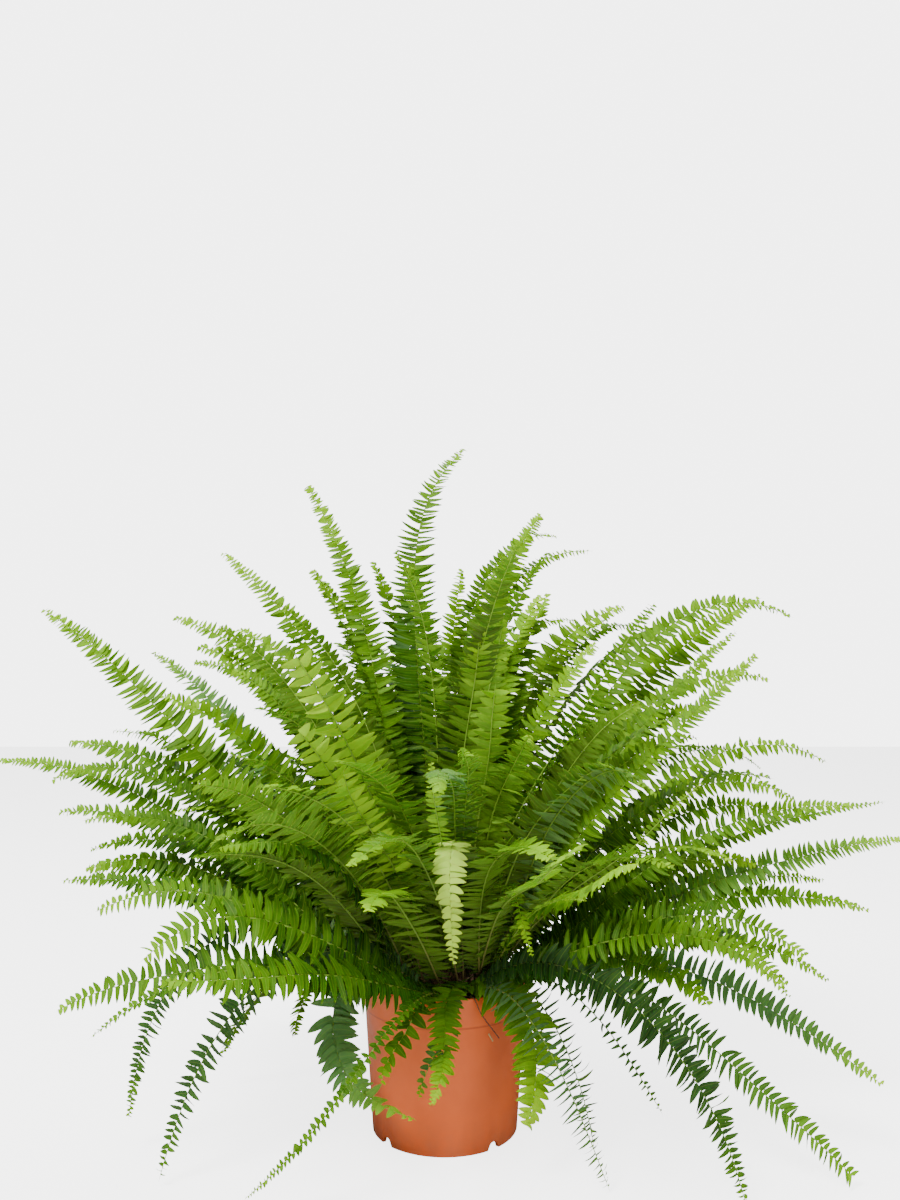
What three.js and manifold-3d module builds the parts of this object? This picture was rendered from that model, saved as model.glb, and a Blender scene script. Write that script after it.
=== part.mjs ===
// A potted Boston fern: a round moulded plastic nursery pot, filled with compost, from which more
// than a hundred arching fronds grow. Millimetres, +Z up, origin at the middle of the pot's foot.
//
// Each frond is one thin body: a three-cornered stem whose two sides are drawn out into leaflets.
// Two to four fronds grow from each crown, a short post that stands in a plain hole in the compost,
// and a crown with its fronds is one mesh. A stem bends past the pot's rim and past other stems. A
// leaflet that would touch another frond is lifted, lowered, shortened or left out.
import * as THREE from 'three';
import { mergeVertices } from 'three/addons/utils/BufferGeometryUtils.js';
import Module from 'manifold-3d';

const wasm = await Module();
wasm.setup();

// ---------------------------------------------------------------- driving dimensions
const POT_HEIGHT = 144;
const RIM_RADIUS = 82.5;
const FOOT_RADIUS = 71.5;
const POT_WALL = 1.8;
const RIM_BAND = 27; // height of the slightly wider band under the rim
const RIM_STEP = 0.9; // how far that band stands out
const FLOOR_RAISE = 6; // the pot's floor is held this far off the ground by its foot ring
const POT_SIDES = 32;
const FOOT_RING = 3; // width of the ring that the pot stands on
const FOOT_NOTCH = { count: 4, width: 20, topWidth: 12, height: 7, first: -50 }; // first in degrees
const DRAIN_HOLE = { radius: 5, ring: 46, sides: 8 }; // one beside each notch
const LIP = 1.4; // how far down the rim's edges are rounded

const COMPOST_BELOW_RIM = 12; // at the wall
const COMPOST_MOUND = 9; // how much higher it is in the middle
const GAP = 0.3; // play between neighbouring pieces

const CROWN = { radius: 3.6, taper: 0.8, above: 7, below: 9, sides: 4 };
// Crowns stand in rings round the middle, the fronds that spread most on the outside.
const CROWN_RINGS = [
  { name: 'outer', radius: 63, crowns: 22, fronds: 57, turn: 4 },
  { name: 'middle', radius: 46, crowns: 16, fronds: 45, turn: 9 },
  { name: 'inner', radius: 30, crowns: 12, fronds: 36, turn: 0 },
  { name: 'heart', radius: 13, crowns: 7, fronds: 23, turn: 20 },
];

const STEM = { halfWidth: 1.5, depth: 2.7, tipShare: 0.5 }; // at the crown, and how it thins
const STEM_SPREAD = 2.2; // between the stems of one crown
const BARE_STEM = 0.14; // share of a frond that carries no leaflets
const LEAFLET_PITCH = 79; // between the leaflets of one side, on a frond of full size
const LEAST_PAIRS = 5;
const FULL_LEAFLET = 28; // the longest leaflet of a frond of full size
const LEAFLET_SWEEP = 14; // degrees that a leaflet leans towards the frond's tip
const TIP_LENGTH = 4;
const BEND = 0.38; // how far the slopes at a frond's two ends are felt along it
const CLEAR = 0.6; // least distance between different fronds
const POT_CLEAR = 1; // least distance from a frond to the pot, the compost and the ground
const SEED = 15;

// ---------------------------------------------------------------- the fronds
// One row for each frond that shows from the front: the place of its tip (x, y, z), the slope it
// leaves the crown with and the slope it ends with, in degrees, the length of its longest leaflet,
// how far its middle bows sideways, how many degrees it is turned about its stalk to face the front
// (below 0 for one that comes forward, which faces the front when turned the other way), and, for one
// that hangs, how much of it follows the slope at its end.
const LEFT_FRONDS = [
  [-454, -10, 362, 38, 4, 21, 0, 40],
  [-416, -12, 515, 46, 36, 27, 0, 62],
  [-300, 62, 507, 62, 12, 20, 0, 55],
  [-218, -80, 499, 64, 36, 18, 0, -60],
  [-170, -60, 525, 72, 40, 16, 0, -60],
  [-336, 105, 473, 50, 30, 22, 0, 45],
  [-265, 20, 464, 60, 10, 20, 0, 50],
  [-268, -95, 432, 50, 24, 27, 0, 54],
  [-396, 22, 378, 44, 4, 20, 0, 46],
  [-371, 84, 389, 50, 8, 17, 0, 40],
  [-371, -62, 320, 38, 4, 18, 0, 44],
  [-350, -104, 263, 30, 4, 15, 0, 44],
  [-338, -72, 266, 34, -10, 20, 0, 44],
  [-309, -132, 238, 30, -20, 22, 0, 46],
  [-249, -190, 206, 32, -44, 27, 0, 46],
  [-339, -134, 152, 24, -20, 23, 0, 48],
  [-298, -165, 142, 26, -34, 12, 0, 30],
  [-224, -212, 197, 24, -4, 24, 0, 36],
  [-208, -200, 359, 52, 14, 27, 0, -50],
  [-169, -300, 326, 56, -8, 22, 0, -40],
  [-138, -306, 362, 62, 4, 20, 0, -35],
  [-216, -20, 452, 60, 30, 24, 0, 50],
  [-269, 60, 484, 60, 24, 22, 0, 50],
  [-391, -30, 345, 44, -16, 18, 0, 44],
  [-336, -90, 311, 38, -6, 17, 0, 44],
  [-377, 60, 266, 36, -12, 18, 0, 44],
  [-351, -40, 258, 32, -10, 17, 0, 44],
];
const TOP_FRONDS = [
  [-250, 60, 586, 74, 38, 18, 0, 60],
  [-149, 20, 655, 74, 58, 21, 22, 80],
  [20, 60, 695, 86, 30, 27, 10, 20],
  [109, 60, 625, 84, 50, 26, 6, 60],
  [138, 132, 613, 80, 4, 15, 0, 40],
  [163, 90, 589, 78, 2, 17, 0, 50],
  [40, 40, 531, 84, -118, 14, 0, 10],
  [34, -90, 499, 82, 76, 26, 0, -20],
  [43, -160, 441, 70, 66, 26, 0, -15],
  [61, -60, 502, 80, 70, 25, 0, -45],
  [-131, -190, 468, 64, 52, 31, 10, -45],
  [-121, -200, 402, 62, 50, 28, 0, -45],
  [-84, -215, 365, 64, 48, 24, 0, -35],
  [-40, 90, 572, 84, 70, 27, 0, 10],
  [-145, 40, 563, 78, 50, 22, 0, 50],
  [103, 30, 538, 84, 60, 24, 0, 40],
  [150, 60, 508, 80, -6, 14, 0, 40],
];
const RIGHT_FRONDS = [
  [450, -34, 290, 24, 14, 21, 0, 46],
  [452, 4, 315, 34, 6, 12, 0, 40],
  [404, 34, 358, 48, -24, 19, 0, 50],
  [363, 112, 341, 50, -32, 15, 0, 40],
  [337, -64, 326, 44, -26, 19, 0, 50],
  [358, 64, 442, 58, -12, 18, 0, 50],
  [295, -92, 466, 56, 44, 18, 0, 54],
  [392, 84, 515, 60, -22, 21, 0, 50],
  [373, 132, 541, 56, 24, 28, 0, 58],
  [309, 24, 498, 58, 44, 15, 0, 54],
  [202, -84, 518, 72, 56, 19, 0, -60],
  [211, 122, 527, 70, 12, 25, 0, 50],
  [253, 164, 493, 66, -24, 14, 0, 40],
  [411, -44, 215, 26, -18, 17, 0, 44],
  [348, -104, 172, 28, -28, 15, 0, 44],
  [315, -144, 200, 34, -34, 20, 0, 40],
  [289, -176, 178, 34, -46, 20, 0, 40],
  [401, -86, 72, 32, -34, 19, 0, 46],
  [229, -134, 350, 54, 48, 11, 0, -55],
  [155, -20, 484, 76, 50, 22, 0, 50],
  [182, -100, 421, 66, 34, 20, 0, -60],
  [281, 30, 413, 58, 10, 20, 0, 50],
  [247, -60, 386, 54, 6, 20, 0, -60],
  [392, -60, 317, 38, -4, 18, 0, 46],
  [373, 60, 298, 42, -16, 20, 0, 46],
  [314, -20, 259, 38, -10, 20, 0, 46],
  [394, 20, 234, 32, -8, 17, 0, 46],
  [295, -150, 174, 38, -48, 22, 0, 40],
  [237, -120, 153, 36, -40, 20, 0, 40],
];
const FRONT_FRONDS = [
  [169, -236, 350, 58, -30, 22, 0, -40],
  [139, -316, 314, 50, 26, 16, 0, 30],
  [91, -372, 330, 56, 24, 16, 0, 20],
  [105, -254, 274, 44, 14, 8, 0, 10],
  [2, -218, 218, 82, -84, 17, 0, 0, 0.95],
  [62, -192, 214, 70, -80, 11, 0, 0, 0.6],
  [-4, -316, 360, 70, -20, 20, 0, 0],
  [-60, -340, 312, 60, -16, 18, 0, 0],
  [-8, -230, 374, 74, 66, 12, 0, 0],
];
const TRAILING_FRONDS = [
  [-296, -64, 34, 60, -84, 15, 0, 70, 0.85],
  [-250, -118, 12, 54, -74, 18, 0, 60, 0.78],
  [-52, -122, 46, 66, -50, 23, -48, 10, 0.6],
  [-165, -168, 12, 40, -56, 7, 52, 20, 0.5],
  [-5, -134, 74, 52, -84, 16, 0, 0, 0.6],
  [-24, -112, 72, 56, -84, 13, 0, 0, 0.6],
  [-62, -124, 86, 50, -60, 16, 18, 0, 0.6],
  [74, -132, 52, 56, -86, 25, 28, 20, 0.7],
  [138, -142, 9, 46, -74, 20, 0, 20, 0.6],
  [136, -82, 17, 50, -80, 19, 0, 40, 0.6],
  [200, -84, 42, 45, -60, 9, 0, 40],
  [249, -170, 13, 54, -74, 21, 0, 40, 0.6],
  [356, -128, 12, 34, -36, 17, 0, 40],
];

// The fronds behind and inside follow a rule: `count` of them from heading `from` to heading `to`
// (degrees, 0 to the right and 90 to the back), all alike but for a seeded random share.
const FRONDS_BY_RULE = [
  { from: 20, to: 160, count: 12, reach: 380, height: 190, leave: 36, end: -26, leaflet: 24 },
  { from: 16, to: 164, count: 13, reach: 382, height: 345, leave: 50, end: -4, leaflet: 25 },
  { from: 24, to: 156, count: 9, reach: 300, height: 510, leave: 68, end: 18, leaflet: 24 },
  { from: 15, to: 165, count: 8, reach: 270, height: 56, leave: 44, end: -74, leaflet: 20 },
  { from: 30, to: 350, count: 7, reach: 140, height: 555, leave: 82, end: 60, leaflet: 24 },
  { from: 190, to: 352, count: 9, reach: 260, height: 395, leave: 62, end: 16, leaflet: 23 },
  { from: 184, to: 356, count: 8, reach: 310, height: 285, leave: 48, end: -10, leaflet: 22 },
];
const RANDOM_SHARE = { heading: 5, reach: 24, height: 26, slope: 7, leaflet: 3, bow: 16, turn: 34 };

// ---------------------------------------------------------------- small helpers
const degrees = THREE.MathUtils.degToRad;
const { lerp } = THREE.MathUtils;

// The same sequence of shares from 0 to 1 each time the file is run.
function seededRandom(seed) {
  let state = seed;
  return () => {
    state = (state * 1664525 + 1013904223) % 4294967296;
    return state / 4294967296;
  };
}

function solidOf(geometry) {
  geometry.deleteAttribute('normal');
  geometry.deleteAttribute('uv');
  const merged = mergeVertices(geometry, 1e-4);
  return new wasm.Manifold(new wasm.Mesh({
    numProp: 3,
    vertProperties: new Float32Array(merged.attributes.position.array),
    triVerts: new Uint32Array(merged.index.array),
  }));
}

function geometryOf(solid) {
  const { vertProperties, triVerts } = solid.getMesh();
  const geometry = new THREE.BufferGeometry();
  geometry.setAttribute('position', new THREE.BufferAttribute(vertProperties, 3));
  geometry.setIndex(new THREE.BufferAttribute(triVerts, 1));
  geometry.computeVertexNormals();
  return geometry;
}

// A lathe about +Z from [radius, height] pairs that start and end on the axis, bottom first.
function turned(profile, sides) {
  const points = profile.map(([radius, height]) => new THREE.Vector2(radius, height));
  return solidOf(new THREE.LatheGeometry(points, sides).rotateX(Math.PI / 2));
}

// A prism that stands on z = bottom, with its middle at (x, y).
function post(x, y, bottom, top, radius, sides, taper = 1) {
  const geometry = new THREE.CylinderGeometry(radius * taper, radius, top - bottom, sides);
  geometry.rotateX(Math.PI / 2).translate(x, y, (top + bottom) / 2);
  return solidOf(geometry);
}

// ---------------------------------------------------------------- pot and compost
const POT_SLOPE = (RIM_RADIUS - RIM_STEP - FOOT_RADIUS) / POT_HEIGHT;
const FLOOR_TOP = FLOOR_RAISE + POT_WALL;
const innerRadius = (z) => FOOT_RADIUS + POT_SLOPE * z - POT_WALL;

function makePot() {
  const bandStart = POT_HEIGHT - RIM_BAND;
  const bandRadius = FOOT_RADIUS + POT_SLOPE * bandStart;
  const rounding = LIP * 0.3;
  let pot = turned([
    [0, FLOOR_RAISE],
    [FOOT_RADIUS - FOOT_RING, FLOOR_RAISE],
    [FOOT_RADIUS - FOOT_RING, 0],
    [FOOT_RADIUS, 0],
    [bandRadius, bandStart],
    [bandRadius + RIM_STEP, bandStart + RIM_STEP],
    [RIM_RADIUS, POT_HEIGHT - LIP],
    [RIM_RADIUS - rounding, POT_HEIGHT],
    [innerRadius(POT_HEIGHT) + rounding, POT_HEIGHT],
    [innerRadius(POT_HEIGHT), POT_HEIGHT - LIP],
    [innerRadius(FLOOR_TOP), FLOOR_TOP],
    [0, FLOOR_TOP],
  ], POT_SIDES);

  const notch = new THREE.Shape();
  notch.moveTo(-FOOT_NOTCH.width / 2, -1);
  notch.lineTo(FOOT_NOTCH.width / 2, -1);
  notch.lineTo(FOOT_NOTCH.topWidth / 2, FOOT_NOTCH.height);
  notch.lineTo(-FOOT_NOTCH.topWidth / 2, FOOT_NOTCH.height);
  for (let i = 0; i < FOOT_NOTCH.count; i += 1) {
    const heading = degrees(FOOT_NOTCH.first + (i * 360) / FOOT_NOTCH.count);
    const cutter = new THREE.ExtrudeGeometry(notch, { depth: 2 * FOOT_RING, bevelEnabled: false });
    cutter.rotateX(Math.PI / 2).rotateZ(Math.PI).translate(0, FOOT_RADIUS - FOOT_RING - 1, 0);
    cutter.rotateZ(heading - Math.PI / 2);
    const { radius, ring, sides } = DRAIN_HOLE;
    const [x, y] = [Math.cos(heading) * ring, Math.sin(heading) * ring];
    const hole = post(x, y, 0, FLOOR_TOP + 1, radius, sides);
    pot = pot.subtract(solidOf(cutter)).subtract(hole);
  }
  return pot;
}

const COMPOST_EDGE = POT_HEIGHT - COMPOST_BELOW_RIM;
const wallSide = (z) => innerRadius(z) - 2 * GAP; // the compost's radius, clear of the wall
const COMPOST_RADIUS = wallSide(COMPOST_EDGE);
const compostTop = (radius) => COMPOST_EDGE + COMPOST_MOUND * (1 - (radius / COMPOST_RADIUS) ** 2);

function makeCompost(crowns) {
  const foot = FLOOR_TOP + GAP;
  const mound = [1, 0.82, 0.5, 0].map((share) => {
    const radius = COMPOST_RADIUS * share;
    return [radius, compostTop(radius)];
  });
  const body = turned([[0, foot], [wallSide(foot), foot], ...mound], POT_SIDES);
  const { radius, above, below, sides } = CROWN;
  const holeRadius = radius + GAP / Math.cos(Math.PI / sides);
  const holes = crowns.map(({ x, y, z }) => post(x, y, z - below - GAP, z + above, holeRadius, sides));
  return holes.reduce((solid, hole) => solid.subtract(hole), body);
}

// ---------------------------------------------------------------- fronds
// A frond's centre line, from its crown to its tip: an arch that bows sideways a little.
class FrondLine extends THREE.Curve {
  constructor({ tip, leave, end, bow, hang }, foot) {
    super();
    const heading = Math.atan2(tip.y - foot.y, tip.x - foot.x);
    const reach = foot.distanceTo(tip);
    const slope = (angle, share) => new THREE.Vector3(
      Math.cos(heading) * Math.cos(angle),
      Math.sin(heading) * Math.cos(angle),
      Math.sin(angle),
    ).multiplyScalar(reach * share);
    this.side = new THREE.Vector3(-Math.sin(heading), Math.cos(heading), 0);
    this.bow = bow;
    this.arch = new THREE.CubicBezierCurve3(
      foot,
      foot.clone().add(slope(leave, BEND)),
      tip.clone().sub(slope(end, hang)),
      tip,
    );
  }

  getPoint(t, target = new THREE.Vector3()) {
    const sideways = this.bow * 2.6 * t * (1 - t * t);
    return this.arch.getPoint(t, target).addScaledVector(this.side, sideways);
  }

  // The directions to a frond's left and out of its upper face at share u of its length.
  frameAt(u, roll) {
    const along = this.getTangentAt(u);
    const across = this.side.clone().addScaledVector(along, -this.side.dot(along)).normalize();
    across.applyAxisAngle(along, roll);
    return { along, across, upward: along.clone().cross(across) };
  }
}

function frondFromRow([x, y, z, leave, end, leaflet, bow, turn, hang = BEND]) {
  return {
    tip: new THREE.Vector3(x, y, z),
    leave: degrees(leave),
    end: degrees(end),
    leaflet,
    bow,
    hang,
    roll: degrees(x < 0 ? -turn : turn),
  };
}

function frondsByRule(random) {
  const share = (size) => (random() * 2 - 1) * size;
  return FRONDS_BY_RULE.flatMap((rule) => Array.from({ length: rule.count }, (_, i) => {
    const step = (rule.to - rule.from) / (rule.count - 1);
    const heading = degrees(rule.from + i * step + share(RANDOM_SHARE.heading));
    const reach = rule.reach + share(RANDOM_SHARE.reach) - RANDOM_SHARE.reach;
    const height = rule.height + share(RANDOM_SHARE.height);
    return {
      tip: new THREE.Vector3(Math.cos(heading) * reach, Math.sin(heading) * reach, height),
      leave: degrees(rule.leave + share(RANDOM_SHARE.slope)),
      end: degrees(rule.end + share(RANDOM_SHARE.slope)),
      leaflet: rule.leaflet + share(RANDOM_SHARE.leaflet),
      bow: share(RANDOM_SHARE.bow),
      hang: BEND,
      roll: degrees(share(RANDOM_SHARE.turn)),
    };
  }));
}

// How long a leaflet is at share u of the leafy stretch, against the longest one.
const leafletShare = (u) => Math.min(1, 0.42 + 2.9 * u) * (1 - 0.9 * u ** 2.4);

// Sorts the fronds into crowns: the widest spread in the outer ring, and round each ring in the
// order of their headings, so that few stems have to cross each other.
function plantCrowns(fronds) {
  const spread = ({ tip, leave }) => Math.hypot(tip.x, tip.y) - (tip.z - POT_HEIGHT) * 0.9 - leave * 120;
  const heading = ({ tip }) => Math.atan2(tip.y, tip.x);
  const sorted = [...fronds].sort((a, b) => spread(b) - spread(a));
  return CROWN_RINGS.flatMap((ring) => {
    const members = sorted.splice(0, ring.fronds).sort((a, b) => heading(a) - heading(b));
    return Array.from({ length: ring.crowns }, (_, i) => {
      const angle = degrees(ring.turn - 180 + ((i + 0.5) * 360) / ring.crowns);
      const first = Math.round((i * members.length) / ring.crowns);
      const next = Math.round(((i + 1) * members.length) / ring.crowns);
      return {
        name: `fronds_${ring.name}_${String(i + 1).padStart(2, '0')}`,
        x: Math.cos(angle) * ring.radius,
        y: Math.sin(angle) * ring.radius,
        z: compostTop(ring.radius),
        angle,
        fronds: members.slice(first, next),
      };
    });
  });
}

// Where a frond's stem and leaflets run, before any leaflet is bent clear of another frond.
function layOut(frond, crown, position) {
  const aside = (position - (crown.fronds.length - 1) / 2) * STEM_SPREAD;
  const foot = new THREE.Vector3(
    crown.x - Math.sin(crown.angle) * aside,
    crown.y + Math.cos(crown.angle) * aside,
    crown.z + CROWN.above / 2,
  );
  const line = new FrondLine(frond, foot);
  const leafy = line.getLength() * (1 - BARE_STEM);
  const pitch = LEAFLET_PITCH * lerp(0.6, 1, frond.leaflet / FULL_LEAFLET);
  const pairs = Math.max(LEAST_PAIRS, Math.round(leafy / pitch));
  const stations = [0, BARE_STEM / 2];
  for (let i = 0; i <= pairs; i += 1) stations.push(lerp(BARE_STEM, 1, i / pairs));

  const ring = stations.map((u) => {
    const { across, upward } = line.frameAt(u, frond.roll);
    const middle = line.getPointAt(u);
    const size = lerp(1, STEM.tipShare, u);
    return {
      left: middle.clone().addScaledVector(across, STEM.halfWidth * size),
      right: middle.clone().addScaledVector(across, -STEM.halfWidth * size),
      keel: middle.clone().addScaledVector(upward, -STEM.depth * size),
    };
  });

  const leaflets = [];
  for (let i = 2; i < stations.length - 1; i += 1) {
    const u = (stations[i] + stations[i + 1]) / 2;
    const share = leafletShare((u - BARE_STEM) / (1 - BARE_STEM));
    const frame = line.frameAt(u, frond.roll);
    for (const hand of [1, -1]) {
      leaflets.push({ i, hand, frame, root: line.getPointAt(u), length: frond.leaflet * share });
    }
  }
  const tip = line.getPointAt(1).addScaledVector(line.getTangentAt(1), TIP_LENGTH);
  return { crown, frond, line, ring, leaflets, tip };
}

// The five corners of a leaflet: its root on the side of the stem, and its point.
function leafletCorners(plan, { i, hand, frame, root, length }, scale, lift) {
  const outward = frame.across.clone().multiplyScalar(hand * Math.cos(lift))
    .addScaledVector(frame.upward, Math.sin(lift))
    .multiplyScalar(Math.cos(degrees(LEAFLET_SWEEP)))
    .addScaledVector(frame.along, Math.sin(degrees(LEAFLET_SWEEP)));
  const point = root.clone().addScaledVector(outward, length * scale);
  const edge = hand > 0 ? 'left' : 'right';
  const [from, to] = [plan.ring[i], plan.ring[i + 1]];
  return [from[edge], to[edge], to.keel, from.keel, point];
}

// ---------------------------------------------------------------- keeping fronds apart
// A convex body for the clearance test: its corners and the directions that can part it from others.
function convex(corners, faces, marks) {
  const edge = (from, to) => corners[to].clone().sub(corners[from]);
  const normals = faces.map(([a, b, c]) => edge(a, b).cross(edge(a, c)).normalize());
  const edges = faces.flatMap(([a, b, c]) => [edge(a, b), edge(b, c)]);
  const box = new THREE.Box3().setFromPoints(corners).expandByScalar(CLEAR / 2);
  return { corners, normals, edges, box, ...marks };
}

const LEAFLET_FACES = [[0, 1, 4], [2, 3, 4], [1, 2, 4], [3, 0, 4]];
const STEM_FACES = [[0, 1, 4], [1, 2, 5], [2, 0, 3], [0, 1, 2]];

const spanAlong = (corners, axis) => {
  let [low, high] = [Infinity, -Infinity];
  for (const corner of corners) {
    const d = corner.dot(axis);
    low = Math.min(low, d);
    high = Math.max(high, d);
  }
  return [low, high];
};

// True if some direction parts the two bodies by at least CLEAR.
function areClear(a, b) {
  if (!a.box.intersectsBox(b.box)) return true;
  const parts = (axis) => {
    const [lowA, highA] = spanAlong(a.corners, axis);
    const [lowB, highB] = spanAlong(b.corners, axis);
    return Math.max(lowA - highB, lowB - highA) >= CLEAR;
  };
  if (a.normals.some(parts) || b.normals.some(parts)) return true;
  const axis = new THREE.Vector3();
  return a.edges.some((edgeA) => b.edges.some((edgeB) => {
    axis.crossVectors(edgeA, edgeB);
    return axis.lengthSq() > 1e-6 && parts(axis.normalize());
  }));
}

// Bodies of one frond may touch each other, and so may the stems of one crown near their foot.
const mayTouch = (a, b) => a.frond === b.frond || (a.crown === b.crown && a.isFoot && b.isFoot);

// Finds what lies near a body, through a grid of cells.
class Neighbourhood {
  constructor(cell = 36) {
    this.cell = cell;
    this.cells = new Map();
  }

  keys({ min, max }) {
    const found = [];
    const index = (value) => Math.floor(value / this.cell);
    for (let x = index(min.x); x <= index(max.x); x += 1) {
      for (let y = index(min.y); y <= index(max.y); y += 1) {
        for (let z = index(min.z); z <= index(max.z); z += 1) found.push(`${x},${y},${z}`);
      }
    }
    return found;
  }

  add(body) {
    for (const key of this.keys(body.box)) {
      if (!this.cells.has(key)) this.cells.set(key, []);
      this.cells.get(key).push(body);
    }
  }

  isClear(body) {
    return this.keys(body.box).every((key) => (this.cells.get(key) ?? []).every((other) => (
      mayTouch(body, other) || areClear(body, other)
    )));
  }
}

// True if a point is above the ground and the compost, and outside the pot, with room to spare.
function missesPot(point) {
  const radius = Math.hypot(point.x, point.y);
  if (point.z < POT_CLEAR) return false;
  if (radius > RIM_RADIUS + POT_CLEAR || point.z > POT_HEIGHT + POT_CLEAR) return true;
  if (radius > innerRadius(POT_HEIGHT) - POT_CLEAR) return false;
  return point.z > compostTop(radius) + POT_CLEAR;
}

function stretchMissesPot(from, to) {
  return [0, 0.2, 0.4, 0.6, 0.8, 1].every((t) => missesPot(from.clone().lerp(to, t)));
}

// Sideways bows and steeper starts that a stem may take on top of its own, to get past the pot's
// rim and the stems that are already there.
const EXTRA_BOWS = [0, 6, -6, 12, -12, 18, -18, 25, -25, 33, -33, 42, -42, 52, -52];
const EXTRA_SLOPES = [0, 6, 12, -7, 18, 26, 34];
const DETOURS = EXTRA_SLOPES.flatMap((slope) => EXTRA_BOWS.map((bow) => [bow, degrees(slope)]));

function stemBodies(plan) {
  return plan.ring.slice(0, -1).map((a, i) => {
    const b = plan.ring[i + 1];
    const marks = { frond: plan.frond, crown: plan.crown, isFoot: i < 2 };
    return convex([a.left, a.right, a.keel, b.left, b.right, b.keel], STEM_FACES, marks);
  });
}

function crownBody(crown) {
  const { radius, above, below } = CROWN;
  const corners = [-below, above].flatMap((height) => [[1, 1], [-1, 1], [-1, -1], [1, -1]]
    .map(([x, y]) => new THREE.Vector3(crown.x + x * radius, crown.y + y * radius, crown.z + height)));
  return convex(corners, [[0, 1, 2], [0, 1, 4], [1, 2, 5]], { crown, isFoot: true });
}

// Draws the stems one after another, the steepest first.
function settleStems(crowns, placed) {
  crowns.forEach((crown) => placed.add(crownBody(crown)));
  const waiting = crowns.flatMap((crown) => crown.fronds.map((frond, i) => ({ crown, frond, i })));
  waiting.sort((a, b) => b.frond.leave - a.frond.leave);
  return waiting.map(({ crown, frond, i }) => {
    for (const [bow, slope] of DETOURS) {
      const detour = { ...frond, bow: frond.bow + bow, leave: frond.leave + slope };
      const plan = layOut(detour, crown, i);
      const keels = [...plan.ring.map(({ keel }) => keel), plan.tip];
      const missesPotAll = keels.slice(1).every((keel, j) => stretchMissesPot(keels[j], keel));
      const bodies = stemBodies(plan);
      if (missesPotAll && bodies.every((body) => placed.isClear(body))) {
        bodies.forEach((body) => placed.add(body));
        return plan;
      }
    }
    throw new Error(`a frond of ${crown.name} finds no way past the others`);
  });
}

// Straight, then lifted or lowered, then shorter: the first of these that is clear is used.
const WAYS_CLEAR = [
  [1, -6], [1, 16], [1, -28], [0.8, 8], [0.8, -20], [0.8, 36], [0.6, 0], [0.6, 30], [0.6, -30],
  [0.4, 0], [0.4, 35], [0.4, -35],
];

function settleLeaflets(plans, placed) {
  for (const plan of plans) {
    plan.points = new Map();
    for (const leaflet of plan.leaflets) {
      for (const [scale, lift] of WAYS_CLEAR) {
        const corners = leafletCorners(plan, leaflet, scale, degrees(lift));
        const body = convex(corners, LEAFLET_FACES, { frond: plan.frond, crown: plan.crown });
        const point = corners[4];
        const missesPotAll = corners.slice(0, 4).every((corner) => stretchMissesPot(corner, point));
        if (missesPotAll && placed.isClear(body)) {
          placed.add(body);
          plan.points.set(`${leaflet.i},${leaflet.hand}`, point);
          break;
        }
      }
    }
  }
}

// ---------------------------------------------------------------- solids of the fronds
function frondSolid({ ring, points, tip }) {
  const positions = [];
  const index = [];
  const vertex = (p) => positions.push(p.x, p.y, p.z) / 3 - 1;
  const rows = ring.map(({ left, right, keel }) => [vertex(left), vertex(right), vertex(keel)]);
  const side = (i, hand, a, b, c, d) => {
    const point = points.get(`${i},${hand}`);
    if (!point) {
      index.push(a, b, c, a, c, d);
      return;
    }
    const p = vertex(point);
    index.push(a, b, p, b, c, p, c, d, p, d, a, p);
  };
  rows.slice(0, -1).forEach(([left, right, keel], i) => {
    const [nextLeft, nextRight, nextKeel] = rows[i + 1];
    index.push(left, right, nextRight, left, nextRight, nextLeft);
    side(i, 1, keel, left, nextLeft, nextKeel);
    side(i, -1, right, keel, nextKeel, nextRight);
  });
  const [first, last] = [rows[0], rows[rows.length - 1]];
  const end = vertex(tip);
  index.push(first[0], first[2], first[1]);
  index.push(last[0], last[1], end, last[1], last[2], end, last[2], last[0], end);
  return new wasm.Manifold(new wasm.Mesh({
    numProp: 3,
    vertProperties: new Float32Array(positions),
    triVerts: new Uint32Array(index),
  }));
}

function crownSolid({ x, y, z }) {
  const { radius, taper, above, below, sides } = CROWN;
  return post(x, y, z - below, z + above, radius, sides, taper);
}

// ---------------------------------------------------------------- the whole plant
const random = seededRandom(SEED);
const fronds = [
  ...[LEFT_FRONDS, TOP_FRONDS, RIGHT_FRONDS, FRONT_FRONDS, TRAILING_FRONDS].flat().map(frondFromRow),
  ...frondsByRule(random),
];
const crowns = plantCrowns(fronds);
const placed = new Neighbourhood();
const plans = settleStems(crowns, placed);
settleLeaflets(plans, placed);

const materials = {
  pot: new THREE.MeshStandardMaterial({ color: 0xc56a3e, roughness: 0.55, metalness: 0 }),
  compost: new THREE.MeshStandardMaterial({ color: 0x3a2a20, roughness: 0.95, metalness: 0 }),
  frond: new THREE.MeshStandardMaterial({ color: 0x4f9a1a, roughness: 0.5, metalness: 0 }),
};

const plant = new THREE.Group();
function addPiece(name, solid, material) {
  const mesh = new THREE.Mesh(geometryOf(solid), material);
  mesh.name = name;
  plant.add(mesh);
}

addPiece('pot', makePot(), materials.pot);
addPiece('compost', makeCompost(crowns), materials.compost);
for (const crown of crowns) {
  const stems = plans.filter((plan) => plan.crown === crown).map(frondSolid);
  const solid = stems.reduce((joined, stem) => joined.add(stem), crownSolid(crown));
  addPiece(crown.name, solid, materials.frond);
}

export default plant;
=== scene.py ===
# %% [markdown]
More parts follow.
